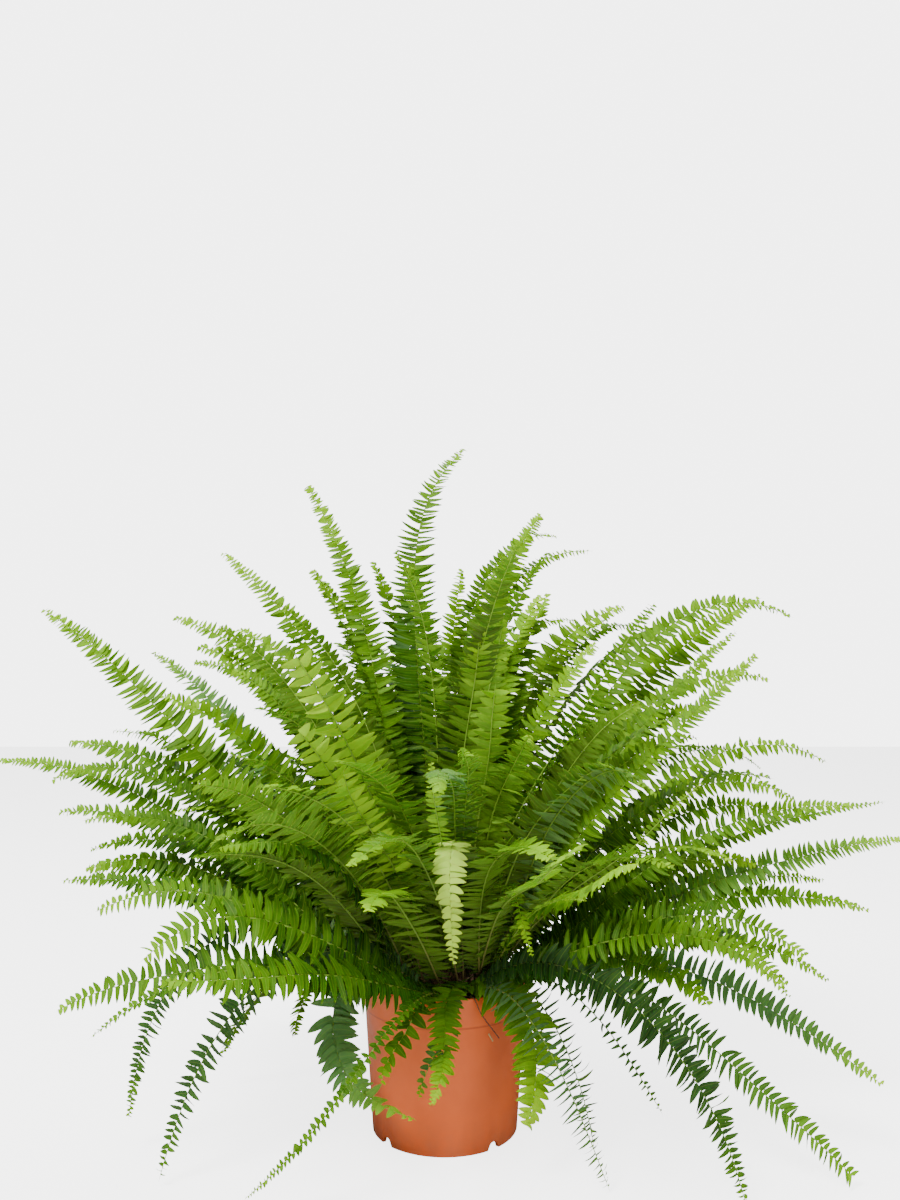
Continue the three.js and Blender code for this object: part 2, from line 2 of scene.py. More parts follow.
# # A potted sword fern
# This lesson dresses a potted Boston fern. A frame with the plant's true sizes is loaded first: a
# plastic nursery pot, the compost in it, and crowns of fronds with a few broad points for leaflets.
# Each of these is then replaced by a finer piece of the same form. The fern is almost all leaflets,
# so one leaflet is modelled and copied some seventeen thousand times along the fronds.

# %% Load the frame
import math

import bmesh
import bpy
import numpy as np
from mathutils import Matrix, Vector, noise
from mathutils.bvhtree import BVHTree


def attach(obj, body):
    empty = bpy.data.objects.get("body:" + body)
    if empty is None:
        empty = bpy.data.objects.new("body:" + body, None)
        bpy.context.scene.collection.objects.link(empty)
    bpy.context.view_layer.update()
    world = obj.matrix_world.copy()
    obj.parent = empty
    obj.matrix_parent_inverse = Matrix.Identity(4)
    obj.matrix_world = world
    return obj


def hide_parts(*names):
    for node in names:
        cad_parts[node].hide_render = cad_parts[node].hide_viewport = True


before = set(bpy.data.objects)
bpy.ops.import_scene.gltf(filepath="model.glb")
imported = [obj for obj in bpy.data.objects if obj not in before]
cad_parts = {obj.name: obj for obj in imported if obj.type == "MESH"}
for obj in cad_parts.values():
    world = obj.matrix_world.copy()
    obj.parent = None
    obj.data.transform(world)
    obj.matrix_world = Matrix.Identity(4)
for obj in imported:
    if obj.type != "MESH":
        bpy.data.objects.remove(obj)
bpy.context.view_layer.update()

# %% [markdown]
# ## Camera, floor and light
# The plant was seen from about a metre away, a little above the middle of the foliage, with the lens
# of a phone held upright. The horizon lies below the middle of the picture, so the camera looks up
# by a few degrees. Weak light from all round, and a large lamp above and to the left, make the light
# of a studio, where upper leaves are bright and the inside of the plant is dark. The sky and the floor
# look brighter to the camera than they shine, so the background is pale and the shadows stay deep.

# %% Camera
EYE = (0.005, -1.021, 0.4345)
LENS = 29.55
LOOK_UP = math.radians(4.93)

bpy.ops.object.camera_add(location=EYE, rotation=(math.pi / 2 + LOOK_UP, 0, 0))
camera = bpy.context.object
camera.data.lens = LENS
bpy.context.scene.camera = camera
print("camera at", EYE)


# %% Floor, lamps and sky
SKY_LIGHT = 0.22
SKY_SEEN = 5.0
FLOOR_SEEN = 3.6
FLOOR_SIZE = 12
AIM = (0, 0, 0.3)


def add_lamp(name, place, size, watts):
    """A square lamp that faces the middle of the plant."""
    bpy.ops.object.light_add(type="AREA", location=place)
    lamp = bpy.context.object
    lamp.name = name
    lamp.data.size = size
    lamp.data.energy = watts
    lamp.rotation_euler = (Vector(AIM) - Vector(place)).to_track_quat("-Z", "Y").to_euler()


def strength_by_ray(tree, light, seen):
    """A strength that is `seen` for what the camera sees, and `light` for the light on the plant."""
    ray = tree.nodes.new("ShaderNodeLightPath")
    strength = tree.nodes.new("ShaderNodeMapRange")
    strength.inputs["To Min"].default_value = light
    strength.inputs["To Max"].default_value = seen
    tree.links.new(ray.outputs["Is Camera Ray"], strength.inputs["Value"])
    return strength.outputs["Result"]


add_lamp("key_lamp", (-1.5, -2.0, 3.5), size=1.3, watts=330)
add_lamp("fill_lamp", (1.9, -3.0, 1.2), size=1.8, watts=48)
add_lamp("top_lamp", (0.2, 0.7, 2.3), size=1.5, watts=34)

sky = bpy.data.worlds.new("pale_studio")
sky.use_nodes = True
glow = sky.node_tree.nodes["Background"]
glow.inputs["Color"].default_value = (1, 1, 1, 1)
sky_strength = strength_by_ray(sky.node_tree, SKY_LIGHT, SKY_SEEN)
sky.node_tree.links.new(sky_strength, glow.inputs["Strength"])
bpy.context.scene.world = sky

bpy.ops.mesh.primitive_plane_add(size=FLOOR_SIZE, location=(0, 0, 0))
floor = bpy.context.object
floor.name = "floor"
pale = bpy.data.materials.new("pale_floor")
pale.use_nodes = True
paper = pale.node_tree.nodes["Principled BSDF"]
paper.inputs["Base Color"].default_value = (0.7, 0.7, 0.69, 1)
paper.inputs["Roughness"].default_value = 0.9
paper.inputs["Emission Color"].default_value = (1, 1, 1, 1)
floor_strength = strength_by_ray(pale.node_tree, 0, FLOOR_SEEN)
pale.node_tree.links.new(floor_strength, paper.inputs["Emission Strength"])
floor.data.materials.append(pale)
print("a floor, three lamps and a pale sky")

# %% [markdown]
# ## Helpers
# Operators work on whatever is selected, and a loaded frame is selected as a whole. So everything is
# deselected before a new piece is begun, and in edit mode faces are picked by a test on their place.


# %% Selecting and finishing
def deselect_all():
    """Leaves nothing selected and no object in edit mode."""
    if bpy.context.mode != "OBJECT":
        bpy.ops.object.mode_set(mode="OBJECT")
    bpy.ops.object.select_all(action="DESELECT")


def pick(piece, kind, test):
    """In edit mode, selects only the vertices or faces of a piece that pass a test."""
    bpy.ops.mesh.select_mode(type=kind)
    bpy.ops.mesh.select_all(action="DESELECT")
    shape = bmesh.from_edit_mesh(piece.data)
    elements = shape.verts if kind == "VERT" else shape.faces
    for element in elements:
        element.select_set(bool(test(element)))
    shape.select_flush_mode()
    bmesh.update_edit_mesh(piece.data)


def apply_modifier(piece, kind, **settings):
    """Adds one modifier to a piece and applies it."""
    bpy.context.view_layer.objects.active = piece
    modifier = piece.modifiers.new(kind.lower(), kind)
    for name, value in settings.items():
        setattr(modifier, name, value)
    bpy.ops.object.modifier_apply(modifier=modifier.name)


def make_active(piece):
    """Selects one piece alone and makes it the active one."""
    deselect_all()
    piece.select_set(True)
    bpy.context.view_layer.objects.active = piece


def new_object(name, data):
    """An object in the scene for a mesh or a curve."""
    piece = bpy.data.objects.new(name, data)
    bpy.context.scene.collection.objects.link(piece)
    return piece


def settle(piece, name, slot, *nodes):
    """Puts a finished piece's place into its mesh, and ties it to the plant."""
    make_active(piece)
    bpy.ops.object.transform_apply(location=True, rotation=True, scale=True)
    piece.name = name
    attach(piece, "root")
    if nodes:
        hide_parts(*nodes)
    triangles = sum(len(face.vertices) - 2 for face in piece.data.polygons)
    print(f"{name}: {triangles} triangles")


deselect_all()
print("selected now:", len(bpy.context.selected_objects), "objects")

# %% [markdown]
# ## Shader groups
# Two effects are used by more than one finish. A mottle is a slow change between a low and a high
# value over the surface, made with noise on object coordinates. A grain is a fine height for a bump.
# Each is a node group with named inputs, built once and placed in a material with its own values.


# %% Two shader groups
def new_group(name, inputs, output):
    """A group with number inputs and one output, which holds noise with a scale and a detail."""
    group = bpy.data.node_groups.new(name, "ShaderNodeTree")
    for label, value in inputs.items():
        socket = group.interface.new_socket(label, in_out="INPUT", socket_type="NodeSocketFloat")
        socket.default_value = value
    group.interface.new_socket(output, in_out="OUTPUT", socket_type="NodeSocketFloat")
    given = group.nodes.new("NodeGroupInput")
    result = group.nodes.new("NodeGroupOutput")
    place = group.nodes.new("ShaderNodeTexCoord")
    cloud = group.nodes.new("ShaderNodeTexNoise")
    group.links.new(place.outputs["Object"], cloud.inputs["Vector"])
    for label in ("Scale", "Detail"):
        group.links.new(given.outputs[label], cloud.inputs[label])
    return group, given.outputs, cloud.outputs["Fac"], result.inputs[output]


def mottle_group():
    """Noise spread out from a low to a high value."""
    inputs = {"Scale": 20, "Low": 0, "High": 1, "Detail": 3}
    group, given, cloud, result = new_group("mottle", inputs, "Value")
    spread = group.nodes.new("ShaderNodeMapRange")
    spread.inputs["From Min"].default_value = 0.3
    spread.inputs["From Max"].default_value = 0.7
    group.links.new(cloud, spread.inputs["Value"])
    group.links.new(given["Low"], spread.inputs["To Min"])
    group.links.new(given["High"], spread.inputs["To Max"])
    group.links.new(spread.outputs["Result"], result)
    return group


def grain_group():
    """Fine noise as a height."""
    group, _, cloud, result = new_group("grain", {"Scale": 900, "Detail": 2}, "Height")
    group.links.new(cloud, result)
    return group


MOTTLE = mottle_group()
GRAIN = grain_group()
print("shader groups:", MOTTLE.name, "and", GRAIN.name)


# %% Building materials
def new_material(name, roughness=0.5):
    """A material with one Principled shader; returns it with its tree and shader."""
    material = bpy.data.materials.new(name)
    material.use_nodes = True
    shader = material.node_tree.nodes["Principled BSDF"]
    shader.inputs["Roughness"].default_value = roughness
    return material, material.node_tree, shader


def add_group(tree, group, **values):
    """Places a group in a material, with its own values."""
    node = tree.nodes.new("ShaderNodeGroup")
    node.node_tree = group
    for label, value in values.items():
        node.inputs[label].default_value = value
    return node.outputs[0]


def add_ramp(tree, value, stops):
    """Colours by a value: stops are (position, (red, green, blue))."""
    ramp = tree.nodes.new("ShaderNodeValToRGB")
    while len(ramp.color_ramp.elements) < len(stops):
        ramp.color_ramp.elements.new(0.5)
    for element, (position, colour) in zip(ramp.color_ramp.elements, stops):
        element.position = position
        element.color = (*colour, 1)
    tree.links.new(value, ramp.inputs["Fac"])
    return ramp.outputs["Color"]


def add_mix(tree, factor, low, high):
    """Mixes two colours; the factor is a number or a socket."""
    node = tree.nodes.new("ShaderNodeMix")
    node.data_type = "RGBA"
    for socket, given in ((node.inputs[0], factor), (node.inputs[6], low), (node.inputs[7], high)):
        if isinstance(given, bpy.types.NodeSocket):
            tree.links.new(given, socket)
        elif isinstance(given, tuple):
            socket.default_value = (*given, 1)
        else:
            socket.default_value = given
    return node.outputs[2]


def add_maths(tree, operation, a, b=0.0, clamp=False):
    """A sum on two values; each is a number or a socket."""
    node = tree.nodes.new("ShaderNodeMath")
    node.operation = operation
    node.use_clamp = clamp
    for socket, given in zip(node.inputs, (a, b)):
        if isinstance(given, bpy.types.NodeSocket):
            tree.links.new(given, socket)
        else:
            socket.default_value = given
    return node.outputs["Value"]


def add_range(tree, value, start, stop, at_start, at_stop):
    """A value that goes from one number to another while the given one goes from start to stop."""
    node = tree.nodes.new("ShaderNodeMapRange")
    numbers = (start, stop, at_start, at_stop)
    for label, number in zip(("From Min", "From Max", "To Min", "To Max"), numbers):
        node.inputs[label].default_value = number
    tree.links.new(value, node.inputs["Value"])
    return node.outputs["Result"]


def add_parts(tree, vector):
    """The three coordinates of a place."""
    node = tree.nodes.new("ShaderNodeSeparateXYZ")
    tree.links.new(vector, node.inputs["Vector"])
    return node.outputs


def add_attribute(tree, name):
    """The value that a mesh carries under a name."""
    node = tree.nodes.new("ShaderNodeAttribute")
    node.attribute_name = name
    return node.outputs["Fac"]


def add_bump(tree, shader, height, strength, distance):
    """Roughens a shader's surface by a height."""
    bump = tree.nodes.new("ShaderNodeBump")
    bump.inputs["Strength"].default_value = strength
    bump.inputs["Distance"].default_value = distance
    tree.links.new(height, bump.inputs["Height"])
    tree.links.new(bump.outputs["Normal"], shader.inputs["Normal"])


print("materials can be built")

# %% [markdown]
# ## The pot
# A nursery pot is blow- or injection-moulded from thin polypropylene. It tapers down to a foot ring
# with four notches that let water run out, and a wider band under the rim stiffens it. It is started
# as a cylinder. Bisecting it at a few heights gives rings that can be scaled, insets and extrusions
# hollow it out from both ends, and the notches and drain holes are cut with booleans.

# %% Pot sizes, in metres
MM = 0.001
POT_HEIGHT = 144 * MM
RIM_RADIUS = 82.5 * MM
FOOT_RADIUS = 71.5 * MM
POT_WALL = 1.8 * MM
RIM_BAND = 27 * MM
RIM_STEP = 0.9 * MM
FLOOR_RAISE = 6 * MM
FOOT_RING = 3 * MM
NOTCH_COUNT = 4
NOTCH_FIRST = math.radians(-50)
NOTCH_WIDTH = 20 * MM
NOTCH_HEIGHT = 7 * MM
NOTCH_DEPTH = 8 * MM
NOTCH_TOP = 0.35
NOTCH_ROUNDING = 2.2 * MM
DRAIN_RADIUS = 5 * MM
DRAIN_CUT = 10 * MM
DRAIN_RING = 46 * MM
POT_SLOPE = (RIM_RADIUS - RIM_STEP - FOOT_RADIUS) / POT_HEIGHT
POT_SIDES = 144


def wall_radius(z):
    """The pot's outer radius at a height, without the rim band's step."""
    return FOOT_RADIUS + POT_SLOPE * z


def inner_radius(z):
    """The pot's inner radius at a height."""
    return wall_radius(z) - POT_WALL


print(f"the pot is {POT_HEIGHT / MM:.0f} mm high and {2 * RIM_RADIUS / MM:.0f} mm wide at its rim")


# %% The pot's wall, from a cylinder
def resize_ring(piece, z, radius):
    """Scales the ring of vertices at one height to a radius."""
    pick(piece, "VERT", lambda vertex: abs(vertex.co.z - z) < 1e-5)
    shape = bmesh.from_edit_mesh(piece.data)
    now = max(vertex.co.xy.length for vertex in shape.verts if vertex.select)
    factor = radius / now
    bpy.ops.transform.resize(value=(factor, factor, 1), center_override=(0, 0, z))


bpy.ops.mesh.primitive_cylinder_add(
    vertices=POT_SIDES, radius=FOOT_RADIUS, depth=POT_HEIGHT, location=(0, 0, POT_HEIGHT / 2))
pot = bpy.context.object
bpy.ops.object.transform_apply(location=True)
bpy.ops.object.mode_set(mode="EDIT")
band_start = POT_HEIGHT - RIM_BAND
wall_rings = (POT_HEIGHT * 0.35, POT_HEIGHT * 0.6)
for z in (band_start, band_start + RIM_STEP, *wall_rings):
    bpy.ops.mesh.select_all(action="SELECT")
    bpy.ops.mesh.bisect(plane_co=(0, 0, z), plane_no=(0, 0, 1))
for z in (*wall_rings, band_start):
    resize_ring(pot, z, wall_radius(z))
resize_ring(pot, band_start + RIM_STEP, wall_radius(band_start) + RIM_STEP)
resize_ring(pot, POT_HEIGHT, RIM_RADIUS)
print("pot blank: a tapered cylinder with a stepped band")

# %% Hollowing the pot and its foot
FLOOR_TOP = FLOOR_RAISE + POT_WALL
pick(pot, "FACE", lambda face: face.normal.z > 0.9)
bpy.ops.mesh.inset(thickness=RIM_RADIUS - inner_radius(POT_HEIGHT))
bpy.ops.mesh.extrude_region_move(TRANSFORM_OT_translate={"value": (0, 0, FLOOR_TOP - POT_HEIGHT)})
taper = inner_radius(FLOOR_TOP) / inner_radius(POT_HEIGHT)
bpy.ops.transform.resize(value=(taper, taper, 1), center_override=(0, 0, FLOOR_TOP))
pick(pot, "FACE", lambda face: face.normal.z < -0.9)
bpy.ops.mesh.inset(thickness=FOOT_RING)
bpy.ops.mesh.extrude_region_move(TRANSFORM_OT_translate={"value": (0, 0, FLOOR_RAISE)})
bpy.ops.object.mode_set(mode="OBJECT")
print("pot hollowed:", len(pot.data.polygons), "faces")


# %% Foot notches and drain holes
def cut_away(piece, cutter):
    """Cuts the shape of a cutter out of a piece, and removes the cutter."""
    apply_modifier(piece, "BOOLEAN", operation="DIFFERENCE", solver="EXACT", object=cutter)
    bpy.data.objects.remove(cutter)


def notch_cutter(heading):
    """A wedge that is as wide as the notch at the foot and narrower at its top."""
    bpy.ops.mesh.primitive_cube_add(size=1, location=(0, 0, 0))
    cutter = bpy.context.object
    cutter.scale = (NOTCH_DEPTH, NOTCH_WIDTH, 2 * NOTCH_HEIGHT)
    bpy.ops.object.transform_apply(scale=True)
    bpy.ops.object.mode_set(mode="EDIT")
    pick(cutter, "FACE", lambda face: face.normal.z > 0.9)
    bpy.ops.transform.resize(value=(1, NOTCH_TOP, 1), center_override=(0, 0, NOTCH_HEIGHT))
    bpy.ops.object.mode_set(mode="OBJECT")
    apply_modifier(cutter, "BEVEL", width=NOTCH_ROUNDING, segments=3)
    cutter.location = (math.cos(heading) * FOOT_RADIUS, math.sin(heading) * FOOT_RADIUS, 0)
    cutter.rotation_euler = (0, 0, heading)
    return cutter


for number in range(NOTCH_COUNT):
    heading = NOTCH_FIRST + math.tau * number / NOTCH_COUNT
    cut_away(pot, notch_cutter(heading))
    place = (math.cos(heading) * DRAIN_RING, math.sin(heading) * DRAIN_RING, FLOOR_RAISE)
    bpy.ops.mesh.primitive_cylinder_add(vertices=24, radius=DRAIN_RADIUS, depth=DRAIN_CUT, location=place)
    cut_away(pot, bpy.context.object)
print("pot cut:", len(pot.data.polygons), "faces")

# %% [markdown]
# Moulded edges are never sharp, so a narrow bevel rounds the rim, the step and the foot. A real pot of
# this kind is also never quite round: it has been squeezed in the hand and in the crate. A slow wave
# of about a millimetre in its upper wall is enough to lose the lathe-turned look.

# %% Rounding and squeezing the pot
EDGE_ROUNDING = 0.55 * MM
SHARP_FROM = math.radians(28)
SMOOTH_UP_TO = math.radians(35)
SQUEEZE = 1.1 * MM

apply_modifier(pot, "BEVEL", width=EDGE_ROUNDING, segments=2, limit_method="ANGLE",
               angle_limit=SHARP_FROM)
for vertex in pot.data.vertices:
    angle = math.atan2(vertex.co.y, vertex.co.x)
    height = vertex.co.z / POT_HEIGHT
    wave = 0.6 * math.cos(2 * angle + 0.7) + 0.4 * math.cos(3 * angle - 1.1)
    push = SQUEEZE * wave * height * height
    radius = vertex.co.xy.length
    if radius > DRAIN_RING + 2 * DRAIN_RADIUS:
        vertex.co.x *= 1 + push / radius
        vertex.co.y *= 1 + push / radius
make_active(pot)
bpy.ops.object.shade_smooth_by_angle(angle=SMOOTH_UP_TO)
print("pot rounded:", len(pot.data.polygons), "faces")

# %% [markdown]
# The plastic is an orange-brown terracotta colour. It is satin, a little mottled where the colour
# didn't mix evenly, with fine grain from the mould and rubbed duller patches. A film of dried compost
# clings to its foot, and a thin line of painted shade runs along the step of the rim's band.


# %% Terracotta-coloured plastic
FILM_HEIGHT = 35 * MM
# how near the step the painted shade line is at its darkest, and where it ends
STEP_SHADE_NEAR, STEP_SHADE_FAR = 0.4 * MM, 1.6 * MM


def pot_plastic():
    """The pot's finish, from the colour of the plastic to the grain of the mould."""
    material, tree, shader = new_material("terracotta_plastic")
    patches = add_group(tree, MOTTLE, Scale=16, Low=0, High=1, Detail=4)
    colour = add_ramp(tree, patches, [(0, (0.76, 0.123, 0.017)), (1, (0.85, 0.146, 0.023))])
    place = tree.nodes.new("ShaderNodeTexCoord")
    z = add_parts(tree, place.outputs["Object"])["Z"]
    near_foot = add_range(tree, z, FILM_HEIGHT, 0, 0, 0.5)
    blotches = add_group(tree, MOTTLE, Scale=60, Low=0, High=1, Detail=6)
    film = add_maths(tree, "MULTIPLY", near_foot, blotches, clamp=True)
    colour = add_mix(tree, film, colour, (0.30, 0.13, 0.07))
    # a thin line of painted shade, centred on the step under the rim's band
    off_step = add_maths(tree, "ABSOLUTE", add_maths(tree, "SUBTRACT", z, band_start))
    line = add_range(tree, off_step, STEP_SHADE_NEAR, STEP_SHADE_FAR, 0.45, 0)
    colour = add_mix(tree, line, colour, (0.26, 0.035, 0.005))
    tree.links.new(colour, shader.inputs["Base Color"])
    rubbed = add_group(tree, MOTTLE, Scale=35, Low=0.38, High=0.54, Detail=5)
    tree.links.new(rubbed, shader.inputs["Roughness"])
    shader.inputs["Specular IOR Level"].default_value = 0.38
    grain = add_group(tree, GRAIN, Scale=900, Detail=2)
    add_bump(tree, shader, grain, 0.25, 0.4 * MM)
    return material


pot.data.materials.append(pot_plastic())
settle(pot, "nursery_pot", "pot", "pot")

# %% [markdown]
# ## The compost
# The pot is filled with a dark, fibrous mix of peat and bark that is mounded a little in the middle.
# Its top is what shows, so it is made from a fine grid that is bent into a disc and heaped with noise.
# The rim of the disc is extruded down and closed, which makes it a solid.

# %% Heaping the compost
COMPOST_EDGE = POT_HEIGHT - 12 * MM
COMPOST_MOUND = 9 * MM
COMPOST_RADIUS = inner_radius(COMPOST_EDGE) - 0.6 * MM
COMPOST_DEPTH = 20 * MM
GRID_STEPS = 110
FLAT_EDGE = 6 * MM
LUMPS, CRUMBS = 90, 420


def compost_top(radius):
    """The height of the compost at a distance from its middle."""
    return COMPOST_EDGE + COMPOST_MOUND * (1 - (radius / COMPOST_RADIUS) ** 2)


bpy.ops.mesh.primitive_grid_add(x_subdivisions=GRID_STEPS, y_subdivisions=GRID_STEPS, size=2)
compost = bpy.context.object
for vertex in compost.data.vertices:
    x, y = vertex.co.x, vertex.co.y
    vertex.co.x = x * math.sqrt(1 - y * y / 2) * COMPOST_RADIUS
    vertex.co.y = y * math.sqrt(1 - x * x / 2) * COMPOST_RADIUS
    place = Vector((vertex.co.x, vertex.co.y, 0))
    coarse = noise.fractal(place * LUMPS, 0.8, 2.0, 3)
    fine = noise.fractal(place * CRUMBS + Vector((7, 3, 0)), 0.7, 2.0, 3)
    edge = min(1, (COMPOST_RADIUS - place.length) / FLAT_EDGE)
    vertex.co.z = compost_top(place.length) + edge * (2.2 * coarse + 0.9 * fine - 0.6) * MM
bpy.ops.object.mode_set(mode="EDIT")
bpy.ops.mesh.select_mode(type="EDGE")
bpy.ops.mesh.select_all(action="DESELECT")
bpy.ops.mesh.select_non_manifold()
bpy.ops.mesh.extrude_region_move(TRANSFORM_OT_translate={"value": (0, 0, -COMPOST_DEPTH)})
bpy.ops.mesh.edge_face_add()
bpy.ops.mesh.select_all(action="SELECT")
bpy.ops.mesh.normals_make_consistent(inside=False)
bpy.ops.object.mode_set(mode="OBJECT")
bpy.ops.object.shade_smooth()
print("compost:", len(compost.data.polygons), "faces")


# %% Damp compost
def compost_finish():
    """Nearly black, with paler crumbs and a rough, dull surface."""
    material, tree, shader = new_material("damp_compost", 0.92)
    lumps = add_group(tree, MOTTLE, Scale=240, Low=0, High=1, Detail=5)
    colour = add_ramp(tree, lumps, [
        (0, (0.008, 0.005, 0.003)), (0.55, (0.035, 0.02, 0.011)), (1, (0.10, 0.06, 0.034))])
    tree.links.new(colour, shader.inputs["Base Color"])
    add_bump(tree, shader, add_group(tree, GRAIN, Scale=700, Detail=6), 0.8, 2 * MM)
    return material


compost.data.materials.append(compost_finish())
settle(compost, "compost_heap", "compost", "compost")

# %% [markdown]
# ## Where the fronds run
# A sword fern's frond is one long arching stalk. The frame holds each of them as a thin body, and the
# fronds here have to lie in the same places. So the rows that shaped the frame are repeated, in
# millimetres: the tip's place, the slope at which the frond leaves its crown, the slope at its end,
# the longest leaflet, how far its middle bows aside, how far its upper face is turned, and, for one
# that hangs, how much of it hangs. Those seen from the front are given one by one.

# %% Fronds given one by one
# tip x, y and z, slope at the crown, slope at the tip, leaflet, bow, turn, and what hangs
FRONDS_SHOWN = {"left": [
    (-454, -10, 362, 38, 4, 21, 0, 40), (-416, -12, 515, 46, 36, 27, 0, 62),
    (-300, 62, 507, 62, 12, 20, 0, 55), (-218, -80, 499, 64, 36, 18, 0, -60),
    (-170, -60, 525, 72, 40, 16, 0, -60), (-336, 105, 473, 50, 30, 22, 0, 45),
    (-265, 20, 464, 60, 10, 20, 0, 50), (-268, -95, 432, 50, 24, 27, 0, 54),
    (-396, 22, 378, 44, 4, 20, 0, 46), (-371, 84, 389, 50, 8, 17, 0, 40),
    (-371, -62, 320, 38, 4, 18, 0, 44), (-350, -104, 263, 30, 4, 15, 0, 44),
    (-338, -72, 266, 34, -10, 20, 0, 44), (-309, -132, 238, 30, -20, 22, 0, 46),
    (-249, -190, 206, 32, -44, 27, 0, 46), (-339, -134, 152, 24, -20, 23, 0, 48),
    (-298, -165, 142, 26, -34, 12, 0, 30), (-224, -212, 197, 24, -4, 24, 0, 36),
    (-208, -200, 359, 52, 14, 27, 0, -50), (-169, -300, 326, 56, -8, 22, 0, -40),
    (-138, -306, 362, 62, 4, 20, 0, -35), (-216, -20, 452, 60, 30, 24, 0, 50),
    (-269, 60, 484, 60, 24, 22, 0, 50), (-391, -30, 345, 44, -16, 18, 0, 44),
    (-336, -90, 311, 38, -6, 17, 0, 44), (-377, 60, 266, 36, -12, 18, 0, 44),
    (-351, -40, 258, 32, -10, 17, 0, 44),
], "top": [
    (-250, 60, 586, 74, 38, 18, 0, 60), (-149, 20, 655, 74, 58, 21, 22, 80),
    (20, 60, 695, 86, 30, 27, 10, 20), (109, 60, 625, 84, 50, 26, 6, 60),
    (138, 132, 613, 80, 4, 15, 0, 40), (163, 90, 589, 78, 2, 17, 0, 50),
    (40, 40, 531, 84, -118, 14, 0, 10), (34, -90, 499, 82, 76, 26, 0, -20),
    (43, -160, 441, 70, 66, 26, 0, -15), (61, -60, 502, 80, 70, 25, 0, -45),
    (-131, -190, 468, 64, 52, 31, 10, -45), (-121, -200, 402, 62, 50, 28, 0, -45),
    (-84, -215, 365, 64, 48, 24, 0, -35), (-40, 90, 572, 84, 70, 27, 0, 10),
    (-145, 40, 563, 78, 50, 22, 0, 50), (103, 30, 538, 84, 60, 24, 0, 40),
    (150, 60, 508, 80, -6, 14, 0, 40),
], "right": [
    (450, -34, 290, 24, 14, 21, 0, 46), (452, 4, 315, 34, 6, 12, 0, 40),
    (404, 34, 358, 48, -24, 19, 0, 50), (363, 112, 341, 50, -32, 15, 0, 40),
    (337, -64, 326, 44, -26, 19, 0, 50), (358, 64, 442, 58, -12, 18, 0, 50),
    (295, -92, 466, 56, 44, 18, 0, 54), (392, 84, 515, 60, -22, 21, 0, 50),
    (373, 132, 541, 56, 24, 28, 0, 58), (309, 24, 498, 58, 44, 15, 0, 54),
    (202, -84, 518, 72, 56, 19, 0, -60), (211, 122, 527, 70, 12, 25, 0, 50),
    (253, 164, 493, 66, -24, 14, 0, 40), (411, -44, 215, 26, -18, 17, 0, 44),
    (348, -104, 172, 28, -28, 15, 0, 44), (315, -144, 200, 34, -34, 20, 0, 40),
    (289, -176, 178, 34, -46, 20, 0, 40), (401, -86, 72, 32, -34, 19, 0, 46),
    (229, -134, 350, 54, 48, 11, 0, -55), (155, -20, 484, 76, 50, 22, 0, 50),
    (182, -100, 421, 66, 34, 20, 0, -60), (281, 30, 413, 58, 10, 20, 0, 50),
    (247, -60, 386, 54, 6, 20, 0, -60), (392, -60, 317, 38, -4, 18, 0, 46),
    (373, 60, 298, 42, -16, 20, 0, 46), (314, -20, 259, 38, -10, 20, 0, 46),
    (394, 20, 234, 32, -8, 17, 0, 46), (295, -150, 174, 38, -48, 22, 0, 40),
    (237, -120, 153, 36, -40, 20, 0, 40),
], "front": [
    (169, -236, 350, 58, -30, 22, 0, -40), (139, -316, 314, 50, 26, 16, 0, 30),
    (91, -372, 330, 56, 24, 16, 0, 20), (105, -254, 274, 44, 14, 8, 0, 10),
    (2, -218, 218, 82, -84, 17, 0, 0, 0.95), (62, -192, 214, 70, -80, 11, 0, 0, 0.6),
    (-4, -316, 360, 70, -20, 20, 0, 0), (-60, -340, 312, 60, -16, 18, 0, 0),
    (-8, -230, 374, 74, 66, 12, 0, 0),
], "trailing": [
    (-296, -64, 34, 60, -84, 15, 0, 70, 0.85), (-250, -118, 12, 54, -74, 18, 0, 60, 0.78),
    (-52, -122, 46, 66, -50, 23, -48, 10, 0.6), (-165, -168, 12, 40, -56, 7, 52, 20, 0.5),
    (-5, -134, 74, 52, -84, 16, 0, 0, 0.6), (-24, -112, 72, 56, -84, 13, 0, 0, 0.6),
    (-62, -124, 86, 50, -60, 16, 18, 0, 0.6), (74, -132, 52, 56, -86, 25, 28, 20, 0.7),
    (138, -142, 9, 46, -74, 20, 0, 20, 0.6), (136, -82, 17, 50, -80, 19, 0, 40, 0.6),
    (200, -84, 42, 45, -60, 9, 0, 40), (249, -170, 13, 54, -74, 21, 0, 40, 0.6),
    (356, -128, 12, 34, -36, 17, 0, 40),
]}
HANG = 0.38
print("rows:", {side: len(rows) for side, rows in FRONDS_SHOWN.items()})


# %% A frond
class Frond:
    """The sizes of one frond, in metres and radians, and later the line it follows."""

    def __init__(self, tip, leave, end, leaflet, bow, roll, hang=HANG):
        self.tip = np.array(tip) * MM
        self.leave, self.end = leave, end
        self.leaflet, self.bow = leaflet * MM, bow * MM
        self.roll, self.hang = roll, hang
        # the second value is the bluish painted sheen of old fronds
        self.youth, self.frost, self.fade = 0.4, 0.0, 0.0
        self.habit, self.fresh = {}, (0.22, 0.7)


def frond_from_row(row):
    """A frond from one of the rows; those left of the middle are turned the other way."""
    x, y, z, leave, end, leaflet, bow, turn = row[:8]
    roll = math.radians(-turn if x < 0 else turn)
    hang = row[8] if len(row) > 8 else HANG
    return Frond((x, y, z), math.radians(leave), math.radians(end), leaflet, bow, roll, hang)


shown = {side: [frond_from_row(row) for row in rows] for side, rows in FRONDS_SHOWN.items()}
fronds = [frond for side in shown.values() for frond in side]
print(len(fronds), "fronds given one by one")
